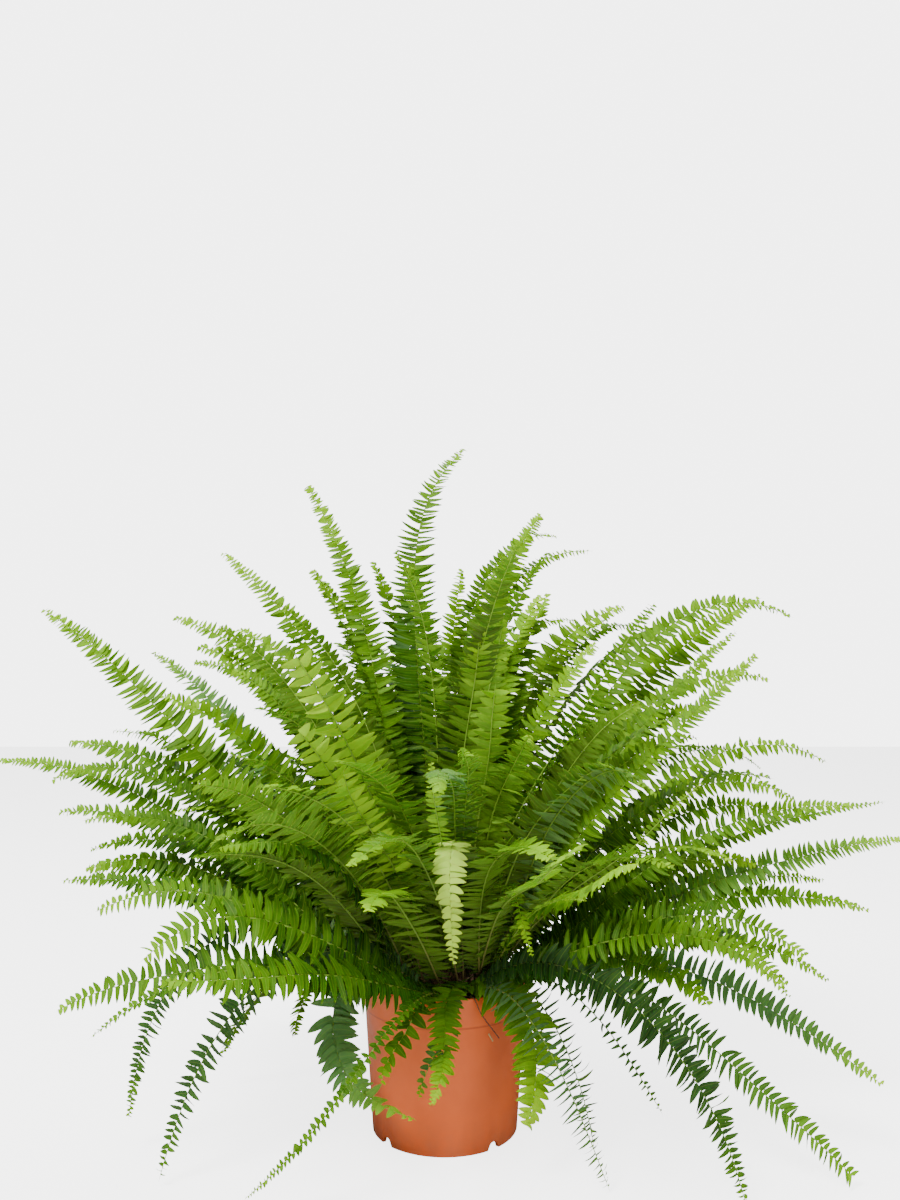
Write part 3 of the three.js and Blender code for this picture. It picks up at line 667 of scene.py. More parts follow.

# %% [markdown]
# The fronds differ in age. A young one is a bright lime all over, an old one is dark, and on some old
# ones a bluish painted sheen stands for the sky's reflection on their gloss. One in the very middle has
# been bleached to a pale yellow by the sun. The newest end of every frond is fresher than the rest.

# %% How young each of these fronds is, and how much bluish painted sheen it carries, from 0 to 1
YOUTH = {
    "left": [0.5, 0.6, 0.58, 0.5, 0.52, 0.48, 0.42, 0.6, 0.46, 0.4, 0.36, 0.3, 0.36, 0.5, 0.46, 0.42,
             0.35, 0.45, 0.6, 0.45, 0.52, 0.46, 0.55, 0.42, 0.4, 0.32, 0.36],
    "top": [0.64, 0.58, 0.42, 0.58, 0.58, 0.56, 0.6, 0.68, 0.66, 0.62, 0.97, 0.94, 0.9, 0.36, 0.5,
            0.66, 0.6],
    "right": [0.58, 0.5, 0.64, 0.5, 0.46, 0.56, 0.64, 0.6, 0.66, 0.6, 0.64, 0.64, 0.5, 0.45, 0.5,
              0.42, 0.55, 0.35, 0.6, 0.68, 0.5, 0.56, 0.6, 0.5, 0.45, 0.48, 0.42, 0.4, 0.42],
    "front": [0.4, 0.68, 0.58, 0.72, 0.4, 0.5, 0.35, 0.45, 0.8],
    # trailing fronds 2 and 7 are a brighter green than their age, painted light against the shade they
    # hang in
    "trailing": [0.1, 0.1, 0.7, 0.5, 0.62, 0.34, 0.5, 0.72, 0.15, 0.2, 0.3, 0.18, 0.36]}
# how much bluish painted sheen, the sky's reflection on a glossy old frond, is mixed into its green
PAINTED_SHEEN = {
    "left": {5: 0.5},
    "top": {13: 0.5},
    "right": {0: 0.2, 17: 0.55},
    "front": {0: 0.75, 4: 0.7, 6: 0.5},
    "trailing": {0: 0.2, 1: 0.25, 2: 0.8, 5: 0.3, 8: 0.45, 9: 0.25, 10: 0.3, 11: 0.15, 12: 0.3}}
# the share of a frond that is fresh, and how fresh it is at the tip
FRESH = {"trailing": {2: (0.3, 1.0), 4: (0.3, 1.0), 7: (0.3, 1.0), 12: (0.5, 0.5)},
         "right": {17: (0.3, 1.0)}}

for side, members in shown.items():
    for number, frond in enumerate(members):
        frond.youth = YOUTH[side][number]
        frond.frost = PAINTED_SHEEN[side].get(number, frond.frost)
        frond.fresh = FRESH.get(side, {}).get(number, frond.fresh)
shown["front"][4].fade = 0.6
print("youngest:", max(frond.youth for frond in fronds), "oldest:", min(frond.youth for frond in fronds))

# %% [markdown]
# Some fronds also hold their leaflets in a way of their own. In front of the middle they lie flat and
# well apart, on the tall ones they stand as close as the teeth of a comb, and on the ones that trail
# below the rim they hang limp. The numbers have the meanings that are given further on, where the
# leaflets are placed, and they take the place of the usual values there.

# %% Fronds with a habit of their own
FLAT = {"lift": 0.0, "droop": 0.1, "shingle": 0.05, "taper": 0.6, "point": 1.7, "crowding": 0.1,
        "sweep": 0.05}
COMB = {"spacing": 0.82, "point": 2.6, "sweep": 0.04}
LIMP = {"spacing": 0.9, "breadth": 0.5, "shingle": 0.45, "droop": 0.6}
OWN_HABITS = {
    "left": {0: COMB, 1: COMB},
    "top": {1: COMB, 2: COMB, 3: COMB,
            8: {"spacing": 1.1, "breadth": 0.9, **FLAT}, 10: {"spacing": 1.2, "breadth": 0.8, **FLAT},
            11: {"spacing": 1.2, "breadth": 0.8, **FLAT}, 12: {"spacing": 1.1, "breadth": 0.85, **FLAT}},
    "right": {0: COMB},
    "front": {4: {"spacing": 1.0, "breadth": 1.2, "lift": 0.0, "droop": 0.25, "sweep": 0.05,
                  "shingle": 0.1}},
    "trailing": {0: {"spacing": 1.0, "breadth": 1.0, "shingle": 0.3, "droop": 0.3},
                 1: {"spacing": 1.1, "breadth": 0.95, "shingle": 0.5, "droop": 0.4},
                 2: {"spacing": 1.0, "breadth": 1.35, "lift": 0.0, "droop": 0.3},
                 4: {"spacing": 0.75, "breadth": 1.3, "lift": 0.3, "droop": 0.3},
                 6: {"spacing": 1.5, "breadth": 0.95, "lift": -0.1, "droop": 0.2},
                 7: {"spacing": 0.95, "breadth": 1.25, "lift": 0.1, "droop": 0.5},
                 8: LIMP, 9: LIMP, 10: {**LIMP, "spacing": 1.3},
                 11: {"spacing": 0.85, "breadth": 1.15, "shingle": 0.5, "droop": 0.45},
                 12: {"spacing": 0.85, "breadth": 0.85, "taper": 0.5, "point": 4}}}
NEAR_VIEWER = -130 * MM  # fronds this far forward show their face, with gaps between leaflets
NEAR_BREADTH = 0.84

for side, habits in OWN_HABITS.items():
    for number, habit in habits.items():
        shown[side][number].habit = dict(habit)
for frond in fronds:
    if frond.tip[1] < NEAR_VIEWER:
        frond.habit.setdefault("breadth", NEAR_BREADTH)
print(sum(bool(frond.habit) for frond in fronds), "fronds have a habit of their own")

# %% [markdown]
# The fronds behind and inside can't be told apart from the front, so a rule spreads them. Each line
# is a count of fronds between two headings, all alike but for a seeded random share.

# %% Fronds given by a rule
# count, from and to heading, reach, height, leave slope, end slope, leaflet
FRONDS_BY_RULE = [
    (12, 20, 160, 380, 190, 36, -26, 24), (13, 16, 164, 382, 345, 50, -4, 25),
    (9, 24, 156, 300, 510, 68, 18, 24), (8, 15, 165, 270, 56, 44, -74, 20),
    (7, 30, 350, 140, 555, 82, 60, 24), (9, 190, 352, 260, 395, 62, 16, 23),
    (8, 184, 356, 310, 285, 48, -10, 22),
]


def seeded_random(seed):
    """A function that gives the same shares from 0 to 1 on each run."""
    state = seed

    def draw():
        nonlocal state
        state = (state * 1664525 + 1013904223) % 4294967296
        return state / 4294967296

    return draw


draw_share = seeded_random(15)
age = np.random.default_rng(3)


def stray(size):
    """A seeded amount between minus and plus a size."""
    return (draw_share() * 2 - 1) * size


for count, start, stop, reach, height, leave, end, leaflet in FRONDS_BY_RULE:
    for number in range(count):
        heading = math.radians(start + number * (stop - start) / (count - 1) + stray(5))
        out = reach + stray(24) - 24
        up = height + stray(26)
        fronds.append(Frond(
            tip=(math.cos(heading) * out, math.sin(heading) * out, up),
            leave=math.radians(leave + stray(7)), end=math.radians(end + stray(7)),
            leaflet=leaflet + stray(3), bow=stray(16), roll=math.radians(stray(34))))
        # the fronds inside get a darker range of greens: partly age, partly painted shade of the plant's
        # inside
        fronds[-1].youth = age.uniform(0.12, 0.7)
print(len(fronds), "fronds in all")

# %% [markdown]
# The fronds rise from crowns that stand in four rings. They are shared out as in the frame: the
# widest in the outer ring, and round each ring in the order of their headings.

# %% Sharing the fronds out to the crowns
RIM_HEIGHT = POT_HEIGHT / MM
HEIGHT_COUNTS, SLOPE_COUNTS = 0.9, 120
CROWN_ABOVE = 7 * MM
STEM_SPREAD = 2.2 * MM
# name, radius of the ring, crowns, fronds, turn in degrees
CROWN_RINGS = [("outer", 63, 22, 57, 4), ("middle", 46, 16, 45, 9), ("inner", 30, 12, 36, 0),
               ("heart", 13, 7, 23, 20)]


def spread_of(frond):
    """How much a frond spreads: far out, low at its tip and leaving its crown at a low slope."""
    x, y, z = frond.tip / MM
    return math.hypot(x, y) - (z - RIM_HEIGHT) * HEIGHT_COUNTS - frond.leave * SLOPE_COUNTS


waiting = sorted(fronds, key=spread_of, reverse=True)
crowns = []
for ring, radius, count, members, turn in CROWN_RINGS:
    own, waiting = waiting[:members], waiting[members:]
    own.sort(key=lambda frond: math.atan2(frond.tip[1], frond.tip[0]))
    for number in range(count):
        angle = math.radians(turn - 180 + (number + 0.5) * 360 / count)
        first = math.floor(number * members / count + 0.5)
        last = math.floor((number + 1) * members / count + 0.5)
        base = np.array([math.cos(angle) * radius * MM, math.sin(angle) * radius * MM,
                         compost_top(radius * MM)])
        crowns.append({"name": f"fronds_{ring}_{number + 1:02d}", "base": base, "angle": angle,
                       "fronds": own[first:last]})
print(len(crowns), "crowns")

# %% [markdown]
# A frond's line is a Bezier arch with a sideways bow. Where two stalks would have met, the frame let
# one of them bow or rise a little more. That isn't in the rows, so it is found again here: the same
# extra bows and slopes are tried in turn, until the line's stations lie on the frame's own stalk.


# %% The line of a frond
def unit(vectors):
    """The same vectors, one long."""
    return vectors / np.linalg.norm(vectors, axis=-1, keepdims=True)


class Line:
    """An arch from foot to tip, measured by the share of its length."""

    STEPS = 200
    NEWEST_FROM = 0.84
    FULL_BOW = 2.6  # one over the greatest value of t (1 - t t), about

    def __init__(self, frond, foot, extra_bow=0.0, extra_slope=0.0):
        run = frond.tip - foot
        heading = math.atan2(run[1], run[0])
        reach = np.linalg.norm(run)
        along = np.array([math.cos(heading), math.sin(heading), 0])

        def slope(angle):
            return along * math.cos(angle) + np.array([0, 0, math.sin(angle)])

        self.side = np.array([-math.sin(heading), math.cos(heading), 0])
        self.bow = frond.bow + extra_bow
        self.roll = frond.roll
        self.sway, self.beat, self.nod, self.hook = 0.0, 0.0, 0.0, 0.0
        self.corners = (foot, foot + slope(frond.leave + extra_slope) * reach * HANG,
                        frond.tip - slope(frond.end) * reach * frond.hang, frond.tip)
        t = np.linspace(0, 1, self.STEPS + 1)
        steps = np.linalg.norm(np.diff(self.at(t), axis=0), axis=1)
        self.lengths = np.concatenate(([0], np.cumsum(steps)))
        self.length = self.lengths[-1]

    def at(self, t):
        """The places at parameters t: the arch, its bow, its sway and its newest end."""
        t = np.asarray(t)[:, None]
        a, b, c, d = self.corners
        arch = a * (1 - t) ** 3 + 3 * b * t * (1 - t) ** 2 + 3 * c * t * t * (1 - t) + d * t ** 3
        newest = np.clip((t - self.NEWEST_FROM) / (1 - self.NEWEST_FROM), 0, 1) ** 2
        aside = self.bow * self.FULL_BOW * t * (1 - t * t) + self.hook * newest
        aside = aside + self.sway * t * np.sin(self.beat * t)
        rise = self.sway * 0.6 * t * np.cos(self.beat * t + 1) - self.nod * newest
        return arch + self.side * aside + np.array([0, 0, 1]) * rise

    def t_of(self, u):
        """The parameters at shares u of the length."""
        return np.interp(np.asarray(u) * self.length, self.lengths, np.linspace(0, 1, self.STEPS + 1))

    def point(self, u):
        """The places at shares u of the length."""
        return self.at(self.t_of(u))

    def frame(self, u):
        """Directions along the line, to its left and out of its upper face."""
        t = self.t_of(u)
        along = unit(self.at(np.minimum(t + 1e-4, 1)) - self.at(np.maximum(t - 1e-4, 0)))
        across = unit(self.side - along * (along @ self.side)[:, None])
        upward = np.cross(along, across)
        across = across * math.cos(self.roll) + upward * math.sin(self.roll)
        return along, across, np.cross(along, across)


print("a line is measured in", Line.STEPS, "steps")

# %% Fitting each line to the frame
BARE_STEM = 0.14
LEAFLET_PITCH = 79 * MM
FULL_LEAFLET = 28 * MM
CLOSE_ENOUGH = 0.2 * MM
EXTRA_BOWS = (0, 6, -6, 12, -12, 18, -18, 25, -25, 33, -33, 42, -42, 52, -52)
EXTRA_SLOPES = (0, 6, 12, -7, 18, 26, 34)


def frame_stations(frond, line):
    """The shares of a line at which the frame's stalk has its corners."""
    pitch = LEAFLET_PITCH * (0.6 + 0.4 * frond.leaflet / FULL_LEAFLET)
    pairs = max(5, math.floor(line.length * (1 - BARE_STEM) / pitch + 0.5))
    return np.linspace(BARE_STEM, 1, pairs + 1)


def fit_line(frond, foot, tree):
    """The line of a frond that lies in the frame's stalk, and how far off it is."""
    best, least = None, math.inf
    for slope in EXTRA_SLOPES:
        for bow in EXTRA_BOWS:
            line = Line(frond, foot, bow * MM, math.radians(slope))
            stations = line.point(frame_stations(frond, line))
            off = max(tree.find_nearest(Vector(place))[3] for place in stations)
            if off < least:
                best, least = line, off
            if off < CLOSE_ENOUGH:
                return best, least
    return best, least


worst = 0
for crown in crowns:
    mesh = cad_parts[crown["name"]].data
    tree = BVHTree.FromPolygons([v.co for v in mesh.vertices], [f.vertices for f in mesh.polygons])
    aside = np.array([-math.sin(crown["angle"]), math.cos(crown["angle"]), 0])
    for number, frond in enumerate(crown["fronds"]):
        middle = number - (len(crown["fronds"]) - 1) / 2
        foot = crown["base"] + aside * middle * STEM_SPREAD + np.array([0, 0, CROWN_ABOVE / 2])
        frond.line, off = fit_line(frond, foot, tree)
        worst = max(worst, off)
print(f"every line lies within {worst / MM:.2f} mm of the frame's stalks")

# %% [markdown]
# No stalk is as smooth as a Bezier arch. Each sways a few millimetres from side to side on its way,
# and its newest end nods or hooks aside, because it hasn't yet stiffened.

# %% Swaying lines
wind = np.random.default_rng(21)
for frond in fronds:
    frond.line.sway = wind.uniform(1.5, 3.5) * MM
    frond.line.beat = wind.uniform(7, 13)
    frond.line.nod = wind.uniform(-1, 7) * MM
    frond.line.hook = wind.normal(0, 6) * MM
curled = shown["trailing"][2].line
curled.hook, curled.nod = 34 * MM, -15 * MM
print("all", len(fronds), "lines sway")

# %% [markdown]
# ## One leaflet
# A leaflet is a tapering strap. It is widest near its foot, where it has a small ear on the side of the
# frond's tip, its edges are gently scalloped, and it is folded a little along its midrib. Thousands of
# copies are needed, so it has few faces: the sides of a grid are moved station by station, its
# underside is a flipped copy, the two midribs are moved apart, and the rims are welded together.

# %% The leaflet's outline
# share of the length: half widths on the side of the frond's tip and on that of its foot
STATIONS = [(0.00, 0.30, 0.24), (0.05, 0.60, 0.42), (0.16, 0.53, 0.47), (0.31, 0.49, 0.44),
            (0.46, 0.44, 0.41), (0.61, 0.38, 0.35), (0.76, 0.29, 0.27), (0.89, 0.17, 0.16),
            (0.97, 0.07, 0.07)]
FOLD = 0.10
EDGE_WAVE = 0.05
THICKNESS = 0.03
HALF_GRID = 0.5

deselect_all()
bpy.ops.mesh.primitive_grid_add(x_subdivisions=len(STATIONS) - 1, y_subdivisions=2, size=1)
leaflet = bpy.context.object
leaflet.name = "leaflet_pattern"
columns = sorted({round(vertex.co.x, 5) for vertex in leaflet.data.vertices})
bpy.ops.object.mode_set(mode="EDIT")
for number, (column, (along, tipward, footward)) in enumerate(zip(columns, STATIONS)):
    wave = EDGE_WAVE * (1 if number % 2 else -1)
    for hand, width in ((1, tipward), (-1, footward)):
        pick(leaflet, "VERT", lambda vertex: abs(vertex.co.x - column) < 1e-4
             and vertex.co.y * hand > 0.25 and vertex.co.z == 0)
        rise = FOLD * width + wave * width
        bpy.ops.transform.translate(value=(0, hand * (width - HALF_GRID), rise))
place_of = dict(zip(columns, (station[0] for station in STATIONS)))
shape = bmesh.from_edit_mesh(leaflet.data)
for vertex in shape.verts:
    vertex.co.x = place_of[min(columns, key=lambda column: abs(column - vertex.co.x))]
bmesh.update_edit_mesh(leaflet.data)
print("outline:", len(leaflet.data.vertices), "points at", len(columns), "stations")

# %% The leaflet's underside
bpy.ops.mesh.select_all(action="SELECT")
bpy.ops.mesh.duplicate()
bpy.ops.mesh.flip_normals()
shape = bmesh.from_edit_mesh(leaflet.data)
for vertex in shape.verts:
    on_midrib = abs(vertex.co.y) < 0.02
    if on_midrib and vertex.co.x > 0.96:
        vertex.co.x = 1
    elif on_midrib and vertex.co.x > 0:
        is_under = all(face.normal.z < 0 for face in vertex.link_faces)
        vertex.co.z += -THICKNESS if is_under else THICKNESS
bmesh.update_edit_mesh(leaflet.data)
bpy.ops.mesh.select_all(action="SELECT")
bpy.ops.mesh.remove_doubles(threshold=1e-4)
bpy.ops.object.mode_set(mode="OBJECT")
print("leaflet:", len(leaflet.data.polygons), "faces")

# %% [markdown]
# ## Copying the leaflet along the stalks
# A leaflet isn't only scaled. It droops along its length, leans towards the frond's tip, turns a
# little about its own midrib so that neighbours lie on each other like shingles, and each does this a
# bit differently. Those amounts are worked out for all leaflets of a frond at once, and then the
# pattern's points are laid along each leaflet's own bent line.


# %% The pattern as plain numbers
def mesh_arrays(mesh):
    """The points and the face corners of a mesh of quads."""
    points = np.empty(len(mesh.vertices) * 3)
    mesh.vertices.foreach_get("co", points)
    corners = np.empty(len(mesh.loops), dtype=np.int32)
    mesh.loops.foreach_get("vertex_index", corners)
    return points.reshape(-1, 3), corners.reshape(-1, 4)


LEAF_POINTS, LEAF_FACES = mesh_arrays(leaflet.data)
leaf_normals = np.array([face.normal for face in leaflet.data.polygons])
LEAF_UNDER = (leaf_normals[:, 2] < 0).astype(float)
LEAF_UV = np.stack((LEAF_POINTS[:, 0], LEAF_POINTS[:, 1] + 0.5), axis=1)
bpy.data.objects.remove(leaflet)
print("pattern:", len(LEAF_POINTS), "points,", len(LEAF_FACES), "faces")


# %% Laying leaflets
def bend_pattern(leaves):
    """The pattern's points for every leaflet, bent and in place; `leaves` has a row per leaflet."""
    x, y, z = LEAF_POINTS.T[:, None, :]
    length, width, droop, lean, curl = (
        leaves[name][:, None] for name in ("length", "width", "droop", "lean", "curl"))
    turned = curl * x
    across = y * width
    out = length * (x - droop ** 2 * x ** 3 / 6) - across * lean * x
    side = across * np.cos(turned) + length * lean * x * x / 2
    up = z * width + across * np.sin(turned) - length * droop * x * x / 2
    axes = leaves["axes"]
    return (leaves["root"][:, None, :] + out[:, :, None] * axes[:, None, 0]
            + side[:, :, None] * axes[:, None, 1] + up[:, :, None] * axes[:, None, 2])


def turn_about(vectors, axis, angle):
    """Vectors turned about unit axes by angles, row by row."""
    cosine, sine = np.cos(angle)[:, None], np.sin(angle)[:, None]
    dot = np.sum(vectors * axis, axis=1, keepdims=True)
    return vectors * cosine + np.cross(axis, vectors) * sine + axis * dot * (1 - cosine)


print("a leaflet has", len(LEAF_POINTS), "points to bend")

# %% [markdown]
# ## Scales, knobs and fibres
# Every crown is a woody knob no bigger than a pea, furred with thin brown scales that run a little way
# up the stalks, and fine roots and peat fibres lie on the compost. All of the thin ones are copies of
# one strand, a four-sided bar that is cut across at a few stations so that it can bend. The knob is a
# cube that is subdivided, pressed round and then made lumpy.

# %% A strand and a knob, modelled once
deselect_all()
bpy.ops.mesh.primitive_cylinder_add(
    vertices=4, radius=0.5, depth=1, location=(0.5, 0, 0), rotation=(0, math.pi / 2, 0))
strand = bpy.context.object
bpy.ops.object.transform_apply(location=True, rotation=True)
bpy.ops.object.mode_set(mode="EDIT")
for station in (0.2, 0.4, 0.6, 0.8):
    bpy.ops.mesh.select_all(action="SELECT")
    bpy.ops.mesh.bisect(plane_co=(station, 0, 0), plane_no=(1, 0, 0))
pick(strand, "VERT", lambda vertex: vertex.co.x > 0.99)
bpy.ops.transform.resize(value=(1, 0.3, 0.3), center_override=(1, 0, 0))
bpy.ops.object.mode_set(mode="OBJECT")
STRAND_POINTS, STRAND_FACES = mesh_arrays(strand.data)
bpy.data.objects.remove(strand)
print("strand:", len(STRAND_FACES), "faces")

bpy.ops.mesh.primitive_cube_add(size=2)
knob = bpy.context.object
bpy.ops.object.mode_set(mode="EDIT")
bpy.ops.mesh.subdivide(number_cuts=3)
bpy.ops.transform.tosphere(value=1)
bpy.ops.object.mode_set(mode="OBJECT")
KNOB_POINTS, KNOB_FACES = mesh_arrays(knob.data)
bpy.data.objects.remove(knob)
print("knob:", len(KNOB_FACES), "faces")


# %% Laying strands
WIGGLE = 0.12  # how far a strand winds to its sides, as a share of its length
UP = np.array([0, 0, 1])


def lay_strands(roots, headings, climbs, lengths, thickness, arch):
    """The points of many strands; each starts at a root, with a heading and a climb in radians."""
    x, y, z = STRAND_POINTS.T[:, None, :]
    level = np.stack((np.cos(headings), np.sin(headings), np.zeros(len(headings))), axis=1)
    along = level * np.cos(climbs)[:, None] + UP * np.sin(climbs)[:, None]
    across = np.stack((-np.sin(headings), np.cos(headings), np.zeros(len(headings))), axis=1)
    upward = np.cross(along, across)
    length, arch = lengths[:, None], arch[:, None]
    out = length * x
    side = y * thickness + length * WIGGLE * np.sin(7 * x + headings[:, None] * 5)
    up = z * thickness + length * arch * 4 * x * (1 - x)
    return (roots[:, None] + out[:, :, None] * along[:, None] + side[:, :, None] * across[:, None]
            + up[:, :, None] * upward[:, None])


def copies_of(faces, points_each, count):
    """The faces of many copies of a pattern whose points follow each other."""
    return (faces[None] + (np.arange(count) * points_each)[:, None, None]).reshape(-1, 4)


print("strands wind by", WIGGLE, "of their length")

# %% [markdown]
# ## Growing the fronds
# Leaflets stand in pairs, a little closer towards the tip. Their length follows the frond's outline,
# broad for most of its length and then tapering to a point. Each frond has its own habit: the spacing
# of its leaflets, how far they are lifted, their breadth against the spacing, how far they are turned
# to overlap like shingles, how far they droop at the end, how far they sweep towards the frond's tip,
# how much shorter they get and how near the point, and how much they crowd where they are short.

# %% How leaflets sit on a frond
LEAFY_FROM, LEAFY_TO = 0.055, 0.998
FULL_PITCH = 8.3 * MM
LONGER = 1.15  # real leaflets reach a little past the frame's points
WIDEST = 0.7  # a leaflet's width is at most this share of its length
ALTERNATE = 0.18  # the leaflets of the two sides stand this share of a pitch off the middle
NEWEST_FROM = 0.88  # from here on leaflets are still unrolling
TWISTED = 0.06  # the share of leaflets that are twisted
LOST = 0.015  # the share of leaflets that have dropped
LEAN = 0.26
# how a frond's leaflets sit: the usual value, and how much it differs from frond to frond
HABITS = {"spacing": (1, 0.08), "lift": (0.04, 0.12), "breadth": (1.02, 0.08), "shingle": (0.12, 0.12),
          "droop": (0.20, 0.13), "sweep": (0.10, 0.05), "taper": (0.83, 0.03), "point": (3.4, 0.4),
          "crowding": (0.58, 0.04)}
# how much single leaflets of a frond differ
UNEVEN = {"place": 0.07, "lift": 0.12, "sweep": 0.09, "twist": 0.8, "shingle": 0.18, "length": 0.07,
          "width": 0.05, "droop": 0.16, "lean": 0.08, "curl": 0.25}
chance = np.random.default_rng(7)


def frond_outline(u, habit):
    """The length of a leaflet at share u of the stalk, against the longest one."""
    v = (u - BARE_STEM) / (1 - BARE_STEM)
    return np.clip(0.64 + 2.2 * v, 0.3, 1) * (1 - habit["taper"] * np.clip(v, 0, 1) ** habit["point"])


def leaflet_spacing(frond, habit, pitch):
    """Shares of a stalk, how far apart leaflets stand there, and how many stand below."""
    stations = np.linspace(LEAFY_FROM, LEAFY_TO, 300)
    pitches = pitch * (1 - habit["crowding"] * (1 - frond_outline(stations, habit)))
    below = np.concatenate(([0], np.cumsum(np.diff(stations) * frond.line.length / pitches[1:])))
    return stations, pitches, below


def leaflet_rows(frond):
    """One row per leaflet: its root, its axes and how it bends, for both sides of a stalk."""
    habit = {name: chance.normal(mean, spread) for name, (mean, spread) in HABITS.items()}
    habit.update(frond.habit)
    size = min(frond.leaflet / FULL_LEAFLET, 1.15)
    pitch = FULL_PITCH * (0.6 + 0.4 * size) * habit["spacing"]
    stations, pitches, below = leaflet_spacing(frond, habit, pitch)
    pairs = int(below[-1])

    def uneven(name, usual=0):
        return chance.normal(usual, UNEVEN[name], pairs)

    rows = []
    for hand in (1, -1):
        order = np.arange(pairs) + 0.5 + (ALTERNATE * hand + uneven("place"))  # counted from below
        u = np.interp(order, below, stations)
        along, across, upward = frond.line.frame(u)
        raised = habit["lift"] + uneven("lift")
        sweep = habit["sweep"] + 0.22 * u ** 3 + uneven("sweep")
        outward = across * hand * np.cos(raised)[:, None] + upward * np.sin(raised)[:, None]
        length_axis = unit(outward * np.cos(sweep)[:, None] + along * np.sin(sweep)[:, None])
        face = unit(upward - length_axis * np.sum(upward * length_axis, axis=1, keepdims=True))
        newest = np.clip((u - NEWEST_FROM) / (1 - NEWEST_FROM), 0, 1)
        twisted = ((chance.random(pairs) < TWISTED) + 0.6 * newest) * uneven("twist")
        turn = hand * (habit["shingle"] + uneven("shingle") + twisted)
        face = turn_about(face, length_axis, turn)
        tipward = np.cross(face, length_axis) * -hand
        length = LONGER * frond.leaflet * frond_outline(u, habit) * uneven("length", 1)
        broad = np.interp(u, stations, pitches) * habit["breadth"]
        width = np.minimum(broad, length * WIDEST) * uneven("width", 1)
        rows.append({
            "root": frond.line.point(u) + upward * 0.2 * MM,
            "axes": np.stack((length_axis, tipward, face), axis=1),
            "length": length, "width": width,
            "droop": habit["droop"] + uneven("droop") + 0.5 * newest,
            "lean": LEAN + uneven("lean"),
            "curl": uneven("curl"),
            "mirrored": np.full(pairs, hand > 0), "u": u,
            "chance": chance.random(pairs)})
    leaves = {key: np.concatenate([row[key] for row in rows]) for key in rows[0]}
    kept = chance.random(len(leaves["u"])) > LOST
    return {key: value[kept] for key, value in leaves.items()}


print("leaflets stand", round(FULL_PITCH / MM, 1), "mm apart on the largest fronds")

# %% The stalk as a tube
STALK_SIDES = 6
STALK_STEP = 11 * MM
FOOT_OF_STALK, TIP_OF_STALK = 1.05 * MM, 0.35 * MM
CLOSED_END = 0.15


def stalk_arrays(frond):
    """Points, quads and shares along a stalk: a thin tube that is closed at both ends."""
    rings = max(8, int(frond.line.length / STALK_STEP))
    u = np.linspace(0, 1, rings)
    _, across, upward = frond.line.frame(u)
    thick = 0.75 + 0.25 * frond.leaflet / FULL_LEAFLET
    radius = (FOOT_OF_STALK + (TIP_OF_STALK - FOOT_OF_STALK) * u) * thick
    radius[[0, -1]] *= CLOSED_END
    middle = frond.line.point(u) - upward * radius[:, None] * 0.8
    angle = np.arange(STALK_SIDES) * math.tau / STALK_SIDES
    ring = (across[:, None] * np.cos(angle)[:, None] + upward[:, None] * np.sin(angle)[:, None])
    points = middle[:, None] + ring * radius[:, None, None]
    first = (np.arange(rings - 1) * STALK_SIDES)[:, None]
    here, there = np.arange(STALK_SIDES), (np.arange(STALK_SIDES) + 1) % STALK_SIDES
    quads = np.stack((first + here, first + there, first + there + STALK_SIDES,
                      first + here + STALK_SIDES), axis=-1).reshape(-1, 4)
    last = (rings - 1) * STALK_SIDES
    caps = [[3, 2, 1, 0], [5, 4, 3, 0], [last, last + 1, last + 2, last + 3],
            [last, last + 3, last + 4, last + 5]]
    return points.reshape(-1, 3), np.concatenate((quads, caps)), np.repeat(u, STALK_SIDES)


print("stalks are tubes of", STALK_SIDES, "sides")


# %% The knob of a crown, and its scales
KNOB_RADIUS = 3.6 * MM
KNOB_SHAPE = np.array([1, 1, 1.5])
SCALE_THICKNESS = 0.55 * MM
SCALES_FROM = 2.4 * MM
SCALES_EACH = 26
fur = np.random.default_rng(11)


def crown_arrays(crown):
    """The lumpy knob under a crown's stalks, and the scales that fur it."""
    lumps = np.array([noise.fractal(Vector(point * 2 + crown["base"] * 900), 0.8, 2.0, 2)
                      for point in KNOB_POINTS])
    knob_points = KNOB_POINTS * (1 + 0.3 * lumps[:, None]) * KNOB_RADIUS * KNOB_SHAPE
    knob_points = knob_points + crown["base"] + UP * 0.5 * MM
    headings = fur.uniform(0, math.tau, SCALES_EACH)
    outward = np.stack((np.cos(headings), np.sin(headings), np.zeros(SCALES_EACH)), axis=1)
    heights = fur.uniform(1, 6, (SCALES_EACH, 1)) * MM
    roots = crown["base"] + outward * SCALES_FROM + UP * heights
    climbs = fur.uniform(0.2, 1.3, SCALES_EACH)
    lengths = fur.uniform(4, 9, SCALES_EACH) * MM
    arches = fur.uniform(-0.1, 0.15, SCALES_EACH)
    scales = lay_strands(roots, headings, climbs, lengths, SCALE_THICKNESS, arches)
    scale_quads = copies_of(STRAND_FACES, len(STRAND_POINTS), SCALES_EACH) + len(KNOB_POINTS)
    points = np.concatenate((knob_points, scales.reshape(-1, 3)))
    return points, np.concatenate((KNOB_FACES, scale_quads))


print("a crown has a knob and", SCALES_EACH, "scales")

# %% [markdown]
# A crown has hundreds of leaflets, so they aren't joined as objects. Their points, faces and values
# are gathered in lists, and one mesh is made of them at the end. Each point carries what the finishes
# need to know: how young and faded its leaflet is, how much bluish painted sheen it has, its own
# chance number, and its share of the way up the stalk.

# %% Gathering many shapes in one mesh
LEAF, STALK, SCALE = 0, 1, 2  # the places of the finishes in a piece
POINT_VALUES = ("youth", "frost", "fade", "chance", "share")


